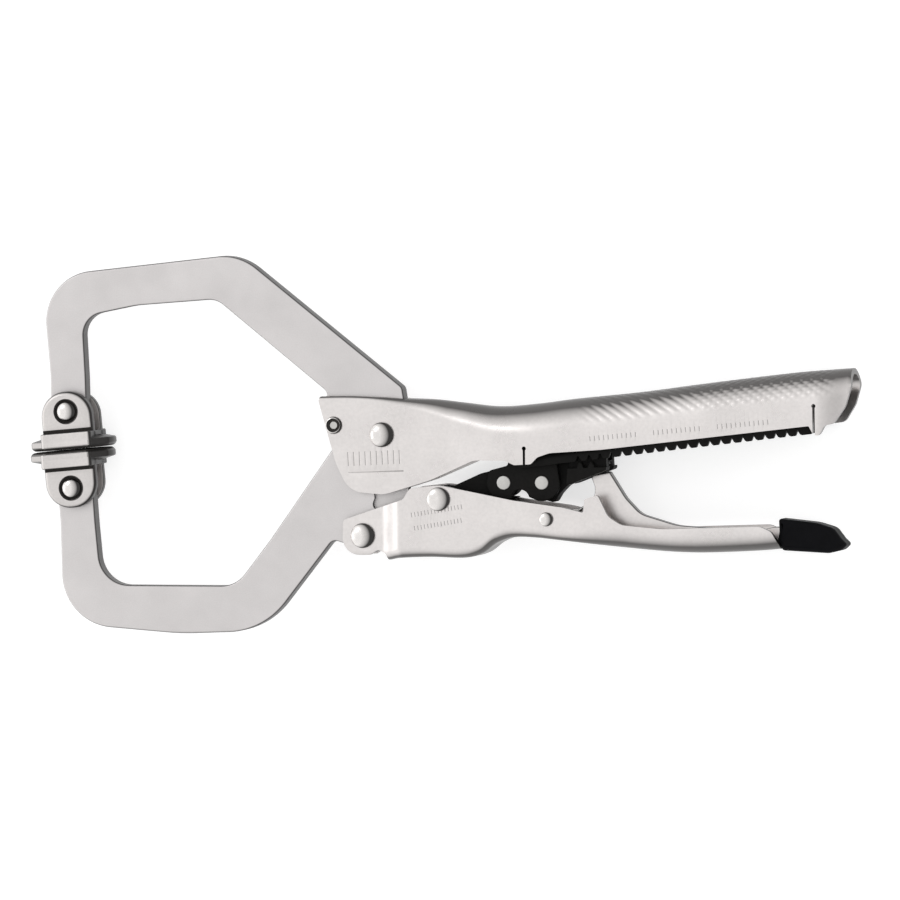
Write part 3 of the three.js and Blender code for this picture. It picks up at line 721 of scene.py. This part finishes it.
def upper_stations():
    foot = -20
    steps = 36
    stations = []
    x = -46.0
    while x <= 142:
        crown = height_at(UPPER_CROWN, x)
        half = blend(x, -14, 36, NOSE_HALF, GRIP_HALF) - blend(x, 129, 142, 0, 2.2)
        radius = min(blend(x, -26, 30, 1.1, 11), half - 0.3)
        hollow = max(radius - SHEET, 0.4)
        stations.append((arch(x, crown, half, radius, foot, steps, knurl),
                         arch(x, crown - SHEET, half - SHEET, hollow, foot, steps)))
        x += 0.45 if 44 < x < 139 else 1.4
    return stations


def upper_handle():
    obj = channel("upper_handle_skin", upper_stations())
    side = cutter([
        (-41.5, 15.7, 1.8), (-30, 18), (140.2, 34), (139.6, 26), (140.6, 19.0, 5), (138.6, 12.4, 5),
        (134.8, 6.6, 3), (132.0, 6.3, 1.5), (129.2, 1.1, 1.6), (126.6, 6.0, 0.6), (56.2, -1.8),
        (38.8, -2.9, 6), (34.6, -4.3, 2.5), (32.4, -6.6, 1.5), (26.6, -6.9, 1.5), (23.4, -5.5, 3),
        (12.4, -5.4, 8), (-3, -12.1, 30), (-19, -16.9, 12), (-30.9, -15.8, 8), (-35.4, -6.4, 14)])
    cut(obj, side, "INTERSECT")
    jaw_slot = [(-50, 6), (-12.5, 6), (-12.5, 20), (-50, 20)]
    cut(obj, cutter(jaw_slot, -SLOT_HALF, SLOT_HALF))
    cut(obj, round_cutter(JAW, RIVET_BORE))
    cut(obj, round_cutter(FRONT_RIVET, HOLLOW_RIVET_BORE))
    # Two slits, each ending in a round hole.
    w = 0.4
    for x, bottom, top in ((30.1, -9, -1.4), (128.3, -3, 12.6)):
        cut(obj, cutter([(x - w, bottom), (x + w, bottom), (x + w, top), (x - w, top)]))
        cut(obj, round_cutter((x, top), 0.7, sides=24))
    far_tab = [(126.8, -2), (133, -2), (133, 6.35), (126.8, 5.9)]
    cut(obj, cutter(far_tab, -BEYOND, 0))
    soften(obj, SHEET_EDGE, segments=3)
    nose_marks = [((-31, -9.6), (-11.5, -9.0)), *tally((-31, -7.4), (-7.5, -6.4), 4.6, 1.95)]
    cut(obj, strokes(NOSE_HALF, nose_marks))
    grip_marks = tally((52.8, 1.1), (114.3, 6.7), 1.6, 1.55, (11, 12, 13, 25, 26, 27))
    cut(obj, strokes(GRIP_HALF, grip_marks))
    return weighted(obj)


def lower_stations():
    foot = -10
    steps = 14
    stations = []
    x = -36.0
    while x <= 118:
        crown = height_at(LOWER_CROWN, x)
        half = blend(x, -20.5, -12.5, NOSE_HALF, LEVER_HALF)
        radius = blend(x, 40, 66, 3.4, 7.3)
        stations.append((arch(x, crown, half, radius, foot, steps),
                         arch(x, crown + SHEET, half - SHEET, radius - 1.7, foot, steps)))
        x += 0.3 if -22 < x < -11 else 0.7 if x < 50 else 1.4
    return stations


def lower_handle():
    obj = channel("lower_handle_skin", lower_stations())
    side = cutter([
        (-33.4, -36.9, 5.6), (-33.1, -25.3, 1.6), (-22, -21.6, 12), (-11.8, -18.4, 2),
        (-9.4, -14.7, 1.6), (0.5, -13.6, 12), (12.6, -16.0, 30), (26, -18.7, 30), (42, -20.9, 15),
        (49.6, -22.7, 0.5), (50.0, -18.2, 0.8), (54.5, -16.8, 1), (58.0, -24.0, 5), (62.4, -26.8, 6),
        (76.3, -28.1, 30), (109.4, -27.2, 5), (113.2, -29.0, 2.5), (115.2, -33.4, 0.8), (114.6, -42),
        (-16.9, -42), (-18.6, -36.4, 1.2), (-21.4, -35.1, 1.2), (-24, -36.9, 1.2)])
    cut(obj, side, "INTERSECT")
    jaw_slot = [(-40, -45), (-16.2, -45), (-16.2, -10), (-40, -10)]
    cut(obj, cutter(jaw_slot, -SLOT_HALF, SLOT_HALF))
    for centre, bore in ((LEVER, RIVET_BORE), (LINK, RIVET_BORE), (RELEASE, RELEASE_BORE)):
        cut(obj, round_cutter(centre, bore))
    soften(obj, SHEET_EDGE, segments=3)
    upper_line = tally((-8.6, -24.2), (8.6, -21.4), 1.5, 1.15)
    lower_line = tally((-7.6, -28.6), (9.4, -25.8), 1.5, 1.15)
    cut(obj, strokes(LEVER_HALF, upper_line + lower_line))
    return weighted(obj)


# ---------------------------------------------------------------- jaws and pads

def upper_jaw():
    x, y = UPPER_PAD
    tip = 6.25
    inner = arc(JAW, 11.8, 53, 144, 30)
    corners = [
        (x - tip, y - tip, tip - 0.02), (-133.7, 22, 60), (-136.4, 55.6, 17), (-68.3, 62.9, 18),
        (-13, 18.6, 2.4), (inner[0][0] + 0.35, inner[0][1] + 0.3), *inner,
        (-36.7, -0.7), (-38.7, 4.2), (-39.9, 9.3, 4), (-38.5, 17, 3), (-76.3, 47.9, 7),
        (-104, 45.9, 40), (-122.5, 42.2, 7.5), (-121.6, 22, 60), (x + tip, y - tip, tip - 0.02)]
    return plate("upper_jaw_plate", corners, JAW_HALF, PLATE_EDGE,
                 (UPPER_PAD, EAR_BORE), (FRONT_RIVET, HOLLOW_RIVET_BORE))


def lower_jaw():
    x, y = LOWER_PAD
    tip = 6.1
    corners = [
        (x - tip, y + tip, tip - 0.02), (-130.9, -27, 60), (-130.4, -59.9, 18), (-90, -63.3, 80),
        (-61.3, -62.4, 26), (-37.2, -32.0, 2.6), (-33.2, -33.2, 1), *arc(LEVER, 6.3, 215, 352, 30),
        (-12.2, -17.6, 9), (-9.0, -6, 20), *arc(JAW, 11.4, -8, 144, 60), (-58.8, -32.1, 90),
        (-70.8, -47.4, 10), (-117, -47.2, 10.5), (-118.8, -27, 40), (x + tip, y + tip, tip - 0.02)]
    arm = plate("lower_jaw_plate", corners, JAW_HALF, PLATE_EDGE,
                (LOWER_PAD, EAR_BORE), (JAW, RIVET_BORE), (LEVER, RIVET_BORE))
    settle(arm)
    lap = [(-24.5, -12.9), (-23.0, -16.2), (-22.8, -18.2), (-24.2, -21.6, 2), (-14, -24), (-6, -14),
           (-8, -8)]
    for low, high in ((LAP_HALF, BEYOND), (-BEYOND, -LAP_HALF)):
        cut(arm, cutter(lap, low, high))
    return soften(arm, LAP_EDGE)


def pad_points(points, pivot, turn):
    """Moves (across, side, up) pad points to their place; up is away from the gripping face."""
    return [(*turned((pivot[0] + across, pivot[1] + up - PAD_REACH), pivot, turn), side)
            for across, side, up in points]


def foot_outline():
    """A circle cut off by two flat sides and by four flat corners."""
    points = []
    for k in range(180):
        a = 2 * math.pi * k / 180
        reach = FOOT_REACH
        for corner in (math.pi / 4, 3 * math.pi / 4):
            reach = min(reach, FOOT_CORNER / max(abs(math.cos(a - corner)), 1e-9))
        reach = min(reach, FOOT_HALF / max(abs(math.sin(a)), 1e-9))
        points.append(Vector((reach * math.cos(a), reach * math.sin(a))))
    return points


def lying(name, points, faces, pivot, turn):
    """A pad piece whose plate lies along the gripping face."""
    flat = [(across, -side, up) for across, side, up in points]
    return weighted(mesh_object(name, pad_points(flat, pivot, turn), faces, 30))


def standing(name, points, faces, pivot, turn, side):
    """A pad piece whose plate faces the near or the far side."""
    upright = [(across, side * z, up) for across, up, z in points]
    if side < 0:
        faces = [f[::-1] for f in faces]
    return mesh_object(name, pad_points(upright, pivot, turn), faces, 40)


def pad_foot(name, pivot, turn):
    edge = [(1.9, 0.0), (1.1, 0.1), (0.45, 0.5), (0, 1.2), (0, 2.5), (0.2, 2.95), (0.7, 3.15),
            (3.2, 3.75), (4.6, 4.0)]
    return lying(name, *slab_parts(foot_outline(), edge), pivot, turn)


def pad_saddle(name, pivot, turn):
    w = SADDLE_HALF
    d = 10.45
    outline = filleted([(-w, -d, 1.2), (w, -d, 1.2), (w, d, 1.2), (-w, d, 1.2)])
    return lying(name, *slab_parts(outline, rounded_edge(0.75, SADDLE_TOP, 0.4)), pivot, turn)


def pad_ear(name, pivot, turn, side):
    w = SADDLE_HALF
    shape = filleted([(-w, 2.0), (w, 2.0), (w, EAR_TOP, 8.4), (-w, EAR_TOP, 8.4)])
    edge = rounded_edge(EAR_INNER, EAR_OUTER, 0.35, 4, 1.1)
    wall = [(EAR_BORE + 0.25, EAR_INNER), (EAR_BORE, EAR_INNER + 0.25), (EAR_BORE, COUNTERBORE_FLOOR),
            (COUNTERBORE - 0.1, COUNTERBORE_FLOOR), (COUNTERBORE, COUNTERBORE_FLOOR + 0.05),
            (COUNTERBORE, EAR_OUTER - 0.35), (COUNTERBORE + 0.4, EAR_OUTER)]
    points, faces = slab_parts(shape, edge, [((0, PAD_REACH), wall, 48)])
    return weighted(standing(name, points, faces, pivot, turn, side))


def pad(name, pivot, turn):
    foot = pad_foot(name, pivot, turn)
    pieces = [foot, pad_saddle(name, pivot, turn)]
    pieces.extend(pad_ear(name, pivot, turn, side) for side in (1, -1))
    for piece in pieces:
        settle(piece)
        piece.data.materials.append(PAD_STEEL)
    # Painted shadow on the gripping faces.
    paint_gap_shadow(foot, turn)
    # Dark pieces of painted shadow above the saddle and round the rivet domes.
    pieces.extend(pad_shadow_pieces(name, pivot, turn))
    return joined(name, pieces)


def paint_gap_shadow(foot, turn):
    """The faces that meet the work are painted in the matte dark colour, a painted shadow for the gap
    between the pads.
    """
    gripping = Vector((math.sin(turn), -math.cos(turn), 0))
    foot.data.materials.append(SHADOW)
    for polygon in foot.data.polygons:
        if polygon.normal.dot(gripping) > 0.6:
            polygon.material_index = 1


def pad_shadow_pieces(name, pivot, turn):
    """Painted shadow: a dark strip in the recess above the saddle and a dark floor round each rivet dome.
    """
    strip = filleted([(-8.4, 5.2), (8.4, 5.2), (8.4, 6.75), (-8.4, 6.75)])
    disc = filleted([(*p, 0) for p in arc((0, PAD_REACH), 4.0, 0, 350, 35)])
    floor_low = COUNTERBORE_FLOOR - 0.2
    floor_high = COUNTERBORE_FLOOR + 0.15
    eye = ((0, PAD_REACH), [(2.6, floor_low), (2.6, floor_high)], 36)
    pieces = []
    for side in (1, -1):
        for outline, low, high, holes in ((strip, 6.5, 6.95, []), (disc, floor_low, floor_high, [eye])):
            points, faces = slab_parts(outline, [(0, low), (0, high)], holes)
            pieces.append(standing(name, points, faces, pivot, turn, side))
            pieces[-1].data.materials.append(SHADOW)
    return pieces


# ---------------------------------------------------------------- linkage

def toggle_link():
    corners = [
        *arc(LINK, 4.4, 260, 112, 24), (3.0, -14.6, 8), (13.6, -9.9, 8),
        *arc(SHUTTLE, 4.9, 112, -80, 40), (13, -20.2, 20)]
    return plate("toggle_link_plate", corners, JAW_HALF, 0.4,
                 (LINK, RIVET_BORE), (SHUTTLE, LINK_CLEARANCE))


def cheek(name, low, high, notch_at):
    notch = arc((notch_at, NOTCH_Y), NOTCH_RADIUS, 168, 12, 24)
    corners = [
        *arc(SHUTTLE, 5.8, 180, 302, 30), *[p for p in notch if p[1] > NOTCH_Y - 0.05],
        *arc(PAWL, 6.1, 240, 360, 30), (*on_rack(18.4, CHEEK_TOP), 3),
        (*on_rack(3.2, CHEEK_TOP), 3), (23.4, -7.2, 1), (16.9, -8.9, 1.5)]
    guide = on_rack(GUIDE_AT, SPRING_LINE)
    holes = [hole(SHUTTLE, PIN_BORE, low, high), hole(PAWL, PIN_BORE, low, high),
             hole(guide, WIRE_PIN_BORE, low, high, 0.2, 24)]
    return slab(name, corners, rounded_edge(low, high, 0.35), holes)


def rack_outline():
    root = TOOTH_TIPS + TOOTH_DEPTH
    notch = ((-1.03, TOOTH_TIPS, 0.35), (-0.16, root, 0.1), (0.16, root, 0.1), (1.03, TOOTH_TIPS, 0.35))
    points = [(*on_rack(RACK_START, RACK_BACK), 1.0), (*on_rack(RACK_START, TOOTH_TIPS), 0.8)]
    along = FIRST_NOTCH
    while along < RACK_END - PITCH:
        points.extend((*on_rack(along + step, up), radius) for step, up, radius in notch)
        along += PITCH
    return points + [(*on_rack(RACK_END, TOOTH_TIPS), 0.8), (*on_rack(RACK_END, RACK_BACK), 1.0)]


def box_on_rack(start, end, bottom, top, *radius):
    corners = ((start, bottom), (end, bottom), (end, top), (start, top))
    return [(*on_rack(along, up), *radius) for along, up in corners]


def rack():
    """Two toothed bars joined by a web along their back."""
    pieces = []
    for low, high in ((RACK_INNER, RACK_OUTER), (-RACK_OUTER, -RACK_INNER)):
        anchor = hole(on_rack(ANCHOR_AT, SPRING_LINE), WIRE_PIN_BORE, low, high, 0.15, 24)
        bar = slab("rack_bar", rack_outline(), rounded_edge(low, high, 0.2, 2), [anchor])
        settle(bar)
        cut(bar, cutter(box_on_rack(12.2, 34.55, 7.8, 11.4, 1.75)))
        pieces.append(bar)
    web = slab("rack_web", box_on_rack(6.1, 106.4, 12.9, 14.45), rounded_edge(-6.6, 6.6, 0.1, 1))
    settle(web)
    return joined("rack_liner", [*pieces, web])


def pawl_teeth():
    """The two teeth at the front of the pawl, from the far one to the near one."""
    points = []
    for i in (1, 0):
        along = FIRST_NOTCH + i * PITCH
        points += [dropped(along + 1.2, PAWL_ROOT), (*dropped(along + 0.28, PAWL_TIP), 0.15),
                   (*dropped(along - 0.28, PAWL_TIP), 0.15), dropped(along - 1.2, PAWL_ROOT)]
    return points


def pawl():
    """A core behind the cheeks, a toothed wing under each rack bar and a fin inside each bar."""
    core = slab("pawl_core", [
        *arc(PAWL, 5.6, 80, 255, 30), (38.6, -19.6, 1.2), (40.4, -16.6, 2), (43.0, -13.9, 3),
        (52.7, -10.3, 8), (57.0, -8.7, 1), dropped(35.3, PAWL_TIP), (*dropped(21.5, PAWL_TIP), 3)],
        rounded_edge(-JAW_HALF, JAW_HALF, 0.25, 2), [hole(PAWL, PIN_BORE, -JAW_HALF, JAW_HALF)])
    wing = [(43.8, -13.8, 0.5), (57.4, -8.7, 0.8), dropped(35.6, PAWL_ROOT), *pawl_teeth(),
            dropped(22.4, PAWL_ROOT)]
    fin = [dropped(22.6, 2.5), dropped(35.2, 2.5), (*dropped(35.2, 7.2), 0.5), (*dropped(22.6, 7.2), 0.5)]
    pieces = [core]
    for name, outline, low, high, edge in (("pawl_wing", wing, 2.6, RACK_OUTER, 0.25),
                                           ("pawl_fin", fin, 3.1, 5.9, 0.2)):
        pieces.append(slab(name, outline, rounded_edge(low, high, edge, 2)))
        pieces.append(slab(name, outline, rounded_edge(-high, -low, edge, 2)))
    for piece in pieces:
        settle(piece)
    pocket = [(46.6, -17), (61, -17), (61, -6.7), (55.5, -6.95), (46.6, -10.0, 0.8)]
    cut(core, cutter(pocket, -2.4, 2.4))
    return joined("pawl_block", pieces)


def release_lever():
    corners = [
        *arc(RELEASE, 4, 270, 95, 30), (43, -21.8, 3), (50.4, -21.4, 2.5), (52.4, -15.2, 5),
        (50.7, -10.8, 0.9), (57.0, -9.3, 1.1), (62.6, -18.2, 10), (67.5, -23.4, 8), (80, -27.2, 20),
        (106, -29.0, 20), (113, -27.6, 8), (119, -27.6), (129.2, -29.5, 3), (132.7, -31.4, 1.5),
        (129.2, -33.0, 2), (115, -32.0, 10), (100, -32.8, 20), (80, -33.0, 30), (60, -31.3, 20),
        (46, -29.4, 10)]
    return slab("release_lever_plate", corners, rounded_edge(-RELEASE_HALF, RELEASE_HALF, 0.45),
                [hole(RELEASE, RELEASE_BORE, -RELEASE_HALF, RELEASE_HALF, 0.2, 32)])


def release_tip():
    """A dipped cover with a socket for the release lever's end."""
    corners = [(114.6, -24.7, 0.9), (127.4, -26.1, 14), (133.2, -27.9, 4), (135.8, -31.4, 2),
               (137.8, -33.3, 0.9), (135.8, -35.2, 3), (131.5, -36.2, 4), (116.0, -35.3, 1.2),
               (114.2, -32.4, 0.6), (114.8, -29.0, 2)]
    cover = slab("release_tip_cover", corners, rounded_edge(-TIP_HALF, TIP_HALF, 1.5, 8))
    settle(cover)
    socket = [(110, -26.9), (119.2, -27.2), (129.6, -29.0, 2), (133.4, -31.4, 1),
              (129.6, -33.4, 2), (115, -32.5), (110, -32.7)]
    cut(cover, cutter(socket, -2.3, 2.3))
    return weighted(cover)


def half_turn(along, first):
    """A hook of the return spring round a pin."""
    points = []
    for i in range(17):
        a = first - math.pi * i / 16
        hook = on_rack(along + RETURN_LOOP * math.cos(a), SPRING_LINE + RETURN_LOOP * math.sin(a))
        points.append((*hook, 0))
    return points


def return_spring():
    """A long coil from a hook on the guide pin to a hook on the anchor pin."""
    start, end = RETURN_STRETCH
    steps = 16
    coil = []
    for i in range(RETURN_TURNS * steps + 1):
        a = 2 * math.pi * i / steps
        along = start + (end - start) * i / (RETURN_TURNS * steps)
        middle = on_rack(along, SPRING_LINE + RETURN_LOOP * math.cos(a))
        coil.append((*middle, RETURN_LOOP * math.sin(a)))
    points = half_turn(GUIDE_AT, -math.pi / 2) + coil + half_turn(ANCHOR_AT, math.pi / 2)
    return wire("return_spring_wire", points, WIRE_RADIUS)


def release_spring():
    """A torsion spring round the release rivet, with one leg on each lever."""
    x, y = RELEASE
    coil = 3.4
    low = 2.9
    high = 5.5

    def at(a, radius, z):
        return (x + radius * math.cos(a), y + radius * math.sin(a), z)

    first = math.radians(-55)
    last = math.radians(78 - 1080)
    points = [at(first + math.acos(coil / radius), radius, low) for radius in (13, 10, 7, 5, 4)]
    for i in range(101):
        t = i / 100
        points.append(at(first + (last - first) * t, coil, low + (high - low) * t))
    points += [at(last - math.acos(coil / radius), radius, high) for radius in (4, 5, 7, 11)]
    return wire("release_spring_wire", points, WIRE_RADIUS)


def pawl_spring():
    """A thin bent strip above the pawl."""
    middle = [(15.6, 6.2), (18, 6.0), (21, 5.3), (24, 4.7), (27, 4.6), (30, 5.1)]
    half = 0.24
    places = [15.6 + 14.4 * i / 24 for i in range(25)]
    above = [on_rack(along, height_at(middle, along) + half) for along in places]
    below = [on_rack(along, height_at(middle, along) - half) for along in reversed(places)]
    return slab("pawl_spring_strip", above + below, rounded_edge(-2.4, 2.4, 0.1, 1))


def washer(name, centre, inner, outer, low, high):
    """A spacer with softened rims."""
    e = 0.15
    profile = [(inner + e, low), (outer - e, low), (outer, low + e), (outer, high - e),
               (outer - e, high), (inner + e, high), (inner, high - e), (inner, low + e),
               (inner + e, low)]
    return lathe(name, centre, profile, 40, 35)


def front_rivet():
    """A hollow rivet: a thin bright rim, a flared mouth in the dark colour as painted shadow, and a paler
    floor in it.
    """
    seat = MAIN_RIVET[2]
    rim = [(2.2, 0), (2.2, seat + 0.45), (2.35, seat + 0.58), (2.55, seat + 0.52), (2.8, seat + 0.3),
           (2.88, seat + 0.02), (2.3, seat), (2.3, 0)]
    below = [(r, -z) for r, z in reversed(rim[1:-1])]
    mouth = [(0, 5.2), (1.25, 5.2), (1.35, 5.75), (2.19, 5.9)]
    pit = [(0, 5.5), (1.22, 5.5), (1.24, 5.3)]
    pieces = []
    for name, profile, sides, material in (
            ("front_rivet_tube", rim + below + rim[:1], 48, RIVET),
            ("front_rivet_mouth", mirrored(mouth), 48, SHADOW),
            ("front_rivet_floor", mirrored(pit), 32, PIN_END)):
        pieces.append(lathe(name, FRONT_RIVET, profile, sides, 40))
        pieces[-1].data.materials.append(material)
    return joined("front_rivet_tube", pieces)


# ---------------------------------------------------------------- assembly

def show(obj, body, cad_node, material=None):
    """Puts a piece on its body in place of its CAD node."""
    if material:
        obj.data.materials.clear()
        obj.data.materials.append(material)
    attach(obj, body)
    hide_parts(cad_node)


def show_rivet(name, centre, form, body, cad_node):
    show(rivet(name, centre, *form), body, cad_node, RIVET)


def show_cross_pin(name, along, body, cad_node):
    place = on_rack(along, SPRING_LINE)
    show(pin(name, place, CROSS_PIN, RACK_OUTER), body, cad_node, PIN_END)


show(upper_handle(), "handle_frame", "upper_handle", NICKEL)
show(upper_jaw(), "handle_frame", "upper_jaw", JAW_PLATE)
show(front_rivet(), "handle_frame", "front_rivet")
show_rivet("jaw_pivot_head", JAW, MAIN_RIVET, "handle_frame", "jaw_pivot_rivet")
show(rack(), "handle_frame", "rack", BLACK)
show_cross_pin("spring_anchor_pin", ANCHOR_AT, "handle_frame", "spring_anchor")
spring = return_spring()
show(spring, "handle_frame", "return_spring", WIRE)
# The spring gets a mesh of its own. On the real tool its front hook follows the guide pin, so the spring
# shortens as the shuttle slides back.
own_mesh(spring)
show_rivet("upper_pad_dome", UPPER_PAD, PAD_RIVET, "handle_frame", "upper_pad_rivet")

show(lower_jaw(), "jaw_arm", "lower_jaw", JAW_PLATE)
show_rivet("lever_rivet_head", LEVER, MAIN_RIVET, "jaw_arm", "lever_rivet")
show_rivet("lower_pad_dome", LOWER_PAD, PAD_RIVET, "jaw_arm", "lower_pad_rivet")

show(lower_handle(), "lever", "lower_handle", NICKEL)
show_rivet("link_rivet_head", LINK, LINK_RIVET, "lever", "link_rivet")
for name, inner, outer, cad_node in (("link_spacer_a", 3.3, 6.4, "link_spacer_near"),
                                     ("link_spacer_b", -6.4, -3.3, "link_spacer_far")):
    show(washer(name, LINK, RIVET_BORE, 4.2, inner, outer), "lever", cad_node, BLACK)
show_rivet("release_rivet_head", RELEASE, RELEASE_RIVET, "lever", "release_rivet")
for name, radius, inner, outer, cad_node in (("release_spacer_a", 2.6, 2.3, 6.4, "release_spacer_near"),
                                             ("release_spacer_b", 3.3, -6.4, -2.3, "release_spacer_far")):
    spacer = washer(name, RELEASE, RELEASE_BORE, radius, inner, outer)
    show(spacer, "lever", cad_node, WIRE)
show(release_spring(), "lever", "release_spring", WIRE)

show(toggle_link(), "link", "toggle_link", BLACK)
for name, low, high, notch_at, cad_node in (
        ("cheek_a", CHEEK_INNER, CHEEK_OUTER, NEAR_NOTCH, "shuttle_cheek_near"),
        ("cheek_b", -CHEEK_OUTER, -CHEEK_INNER, FAR_NOTCH, "shuttle_cheek_far")):
    show(cheek(name, low, high, notch_at), "shuttle", cad_node, BLACK)
for name, centre, head, cad_node in (("front_pin_end", SHUTTLE, 2.35, "shuttle_front_pin"),
                                     ("rear_pin_end", PAWL, 2.3, "shuttle_rear_pin")):
    peened = pin(name, centre, SHUTTLE_PIN, SHUTTLE_PIN_HALF, head, CHEEK_OUTER)
    show(peened, "shuttle", cad_node, PIN_END)
show_cross_pin("guide_pin_end", GUIDE_AT, "shuttle", "guide_pin")
show(pawl(), "pawl_block", "pawl", BLACK)
show(pawl_spring(), "pawl_block", "pawl_spring", WIRE)
show(release_lever(), "release", "release_lever", NICKEL)
show(release_tip(), "release", "release_tip", VINYL)
show(pad("upper_pad_foot", UPPER_PAD, PAD_TILT), "upper_foot", "upper_pad")
show(pad("lower_pad_foot", LOWER_PAD, math.pi + PAD_TILT), "lower_foot", "lower_pad")


# ---------------------------------------------------------------- stage, light, camera

# Brightness of the surroundings at each angle, in degrees, from the middle of the overhead light.
SKY = ((90, 0.06), (78, 0.12), (62, 0.35), (48, 0.8), (36, 1.1), (24, 1.1), (10, 0.90), (0, 0.86))
SKY_STRENGTH = 1.3
LIGHT_TILT = math.radians(16)
FLOOR_HALF = 2.5
FLOOR_GREY = 0.5
FLOOR_GLOW = 0.66

# A long lens a little to the right of square, framing a width in metres.
HALF_FIELD = math.radians(1.6)
CAMERA_TILT = math.radians(14.1)
CAMERA_RISE = math.radians(2.5)
CAMERA_AIM = Vector((0.00278, -0.00183, 0.0105))
FRAMED_WIDTH = 0.29808
SENSOR_WIDTH = 36


def floor():
    mesh = bpy.data.meshes.new("floor")
    r = FLOOR_HALF
    mesh.from_pydata([(-r, -r, 0), (r, -r, 0), (r, r, 0), (-r, r, 0)], [], [(0, 1, 2, 3)])
    obj = bpy.data.objects.new("floor", mesh)
    bpy.context.scene.collection.objects.link(obj)
    material = bpy.data.materials.new("pale_floor")
    material.use_nodes = True
    shader = material.node_tree.nodes["Principled BSDF"]
    shader.inputs["Base Color"].default_value = (FLOOR_GREY, FLOOR_GREY, FLOOR_GREY, 1)
    shader.inputs["Roughness"].default_value = 0.85
    shader.inputs["Specular IOR Level"].default_value = 0.1
    shader.inputs["Emission Color"].default_value = (1, 1, 1, 1)
    shader.inputs["Emission Strength"].default_value = FLOOR_GLOW
    mesh.materials.append(material)


def softbox(name, place, target, width, height, radiance):
    light = bpy.data.lights.new(name, "AREA")
    light.shape = "RECTANGLE"
    light.size = width
    light.size_y = height
    light.energy = radiance * math.pi * width * height
    obj = bpy.data.objects.new(name, light)
    obj.location = place
    obj.rotation_mode = "QUATERNION"
    obj.rotation_quaternion = (Vector(target) - Vector(place)).to_track_quat("-Z", "Y")
    obj.visible_camera = False
    bpy.context.scene.collection.objects.link(obj)


def surroundings():
    """A large soft light overhead, a little dimmer at its middle, falling away to the horizon."""
    world = bpy.data.worlds.new("studio")
    bpy.context.scene.world = world
    world.use_nodes = True
    tree = world.node_tree
    coords = node(tree, "ShaderNodeTexCoord")
    lean = node(tree, "ShaderNodeVectorMath", operation="DOT_PRODUCT")
    lean.inputs[1].default_value = (-math.sin(LIGHT_TILT), 0, math.cos(LIGHT_TILT))
    tree.links.new(coords.outputs["Generated"], lean.inputs[0])
    ramp = node(tree, "ShaderNodeValToRGB")
    ramp.color_ramp.interpolation = "B_SPLINE"
    stops = ramp.color_ramp.elements
    while len(stops) > 1:
        stops.remove(stops[-1])
    for i, (angle, level) in enumerate(SKY):
        stop = stops[0] if i == 0 else stops.new(0)
        stop.position = max(0, math.cos(math.radians(angle)))
        stop.color = (level, level, level, 1)
    tree.links.new(lean.outputs["Value"], ramp.inputs["Fac"])
    tree.links.new(ramp.outputs["Color"], tree.nodes["Background"].inputs["Color"])
    tree.nodes["Background"].inputs["Strength"].default_value = SKY_STRENGTH


def camera():
    data = bpy.data.cameras.new("camera")
    data.sensor_width = SENSOR_WIDTH
    data.lens = SENSOR_WIDTH / 2 / math.tan(HALF_FIELD)
    data.clip_start = 0.1
    data.clip_end = 50
    obj = bpy.data.objects.new("camera", data)
    bpy.context.scene.collection.objects.link(obj)
    level = math.cos(CAMERA_RISE)
    back = Vector((math.sin(CAMERA_TILT) * level, math.sin(CAMERA_RISE), math.cos(CAMERA_TILT) * level))
    right = Vector((0, 1, 0)).cross(back).normalized()
    up = back.cross(right)
    turn = Matrix((right, up, back)).transposed().to_4x4()
    roll = Matrix.Rotation(math.atan2(up.x, right.x), 4, "Z")
    distance = FRAMED_WIDTH / 2 / math.tan(HALF_FIELD)
    obj.matrix_world = Matrix.Translation(CAMERA_AIM + back * distance) @ turn @ roll
    bpy.context.scene.camera = obj


floor()
surroundings()
softbox("key", (-1.3, 0.9, 1.6), (0, 0, 0), 0.6, 0.6, 3.0)
softbox("left_strip", (-1.8, -0.1, 0.85), (0, 0, 0), 1.0, 0.9, 0.6)
camera()
bpy.context.scene.view_settings.view_transform = "Standard"
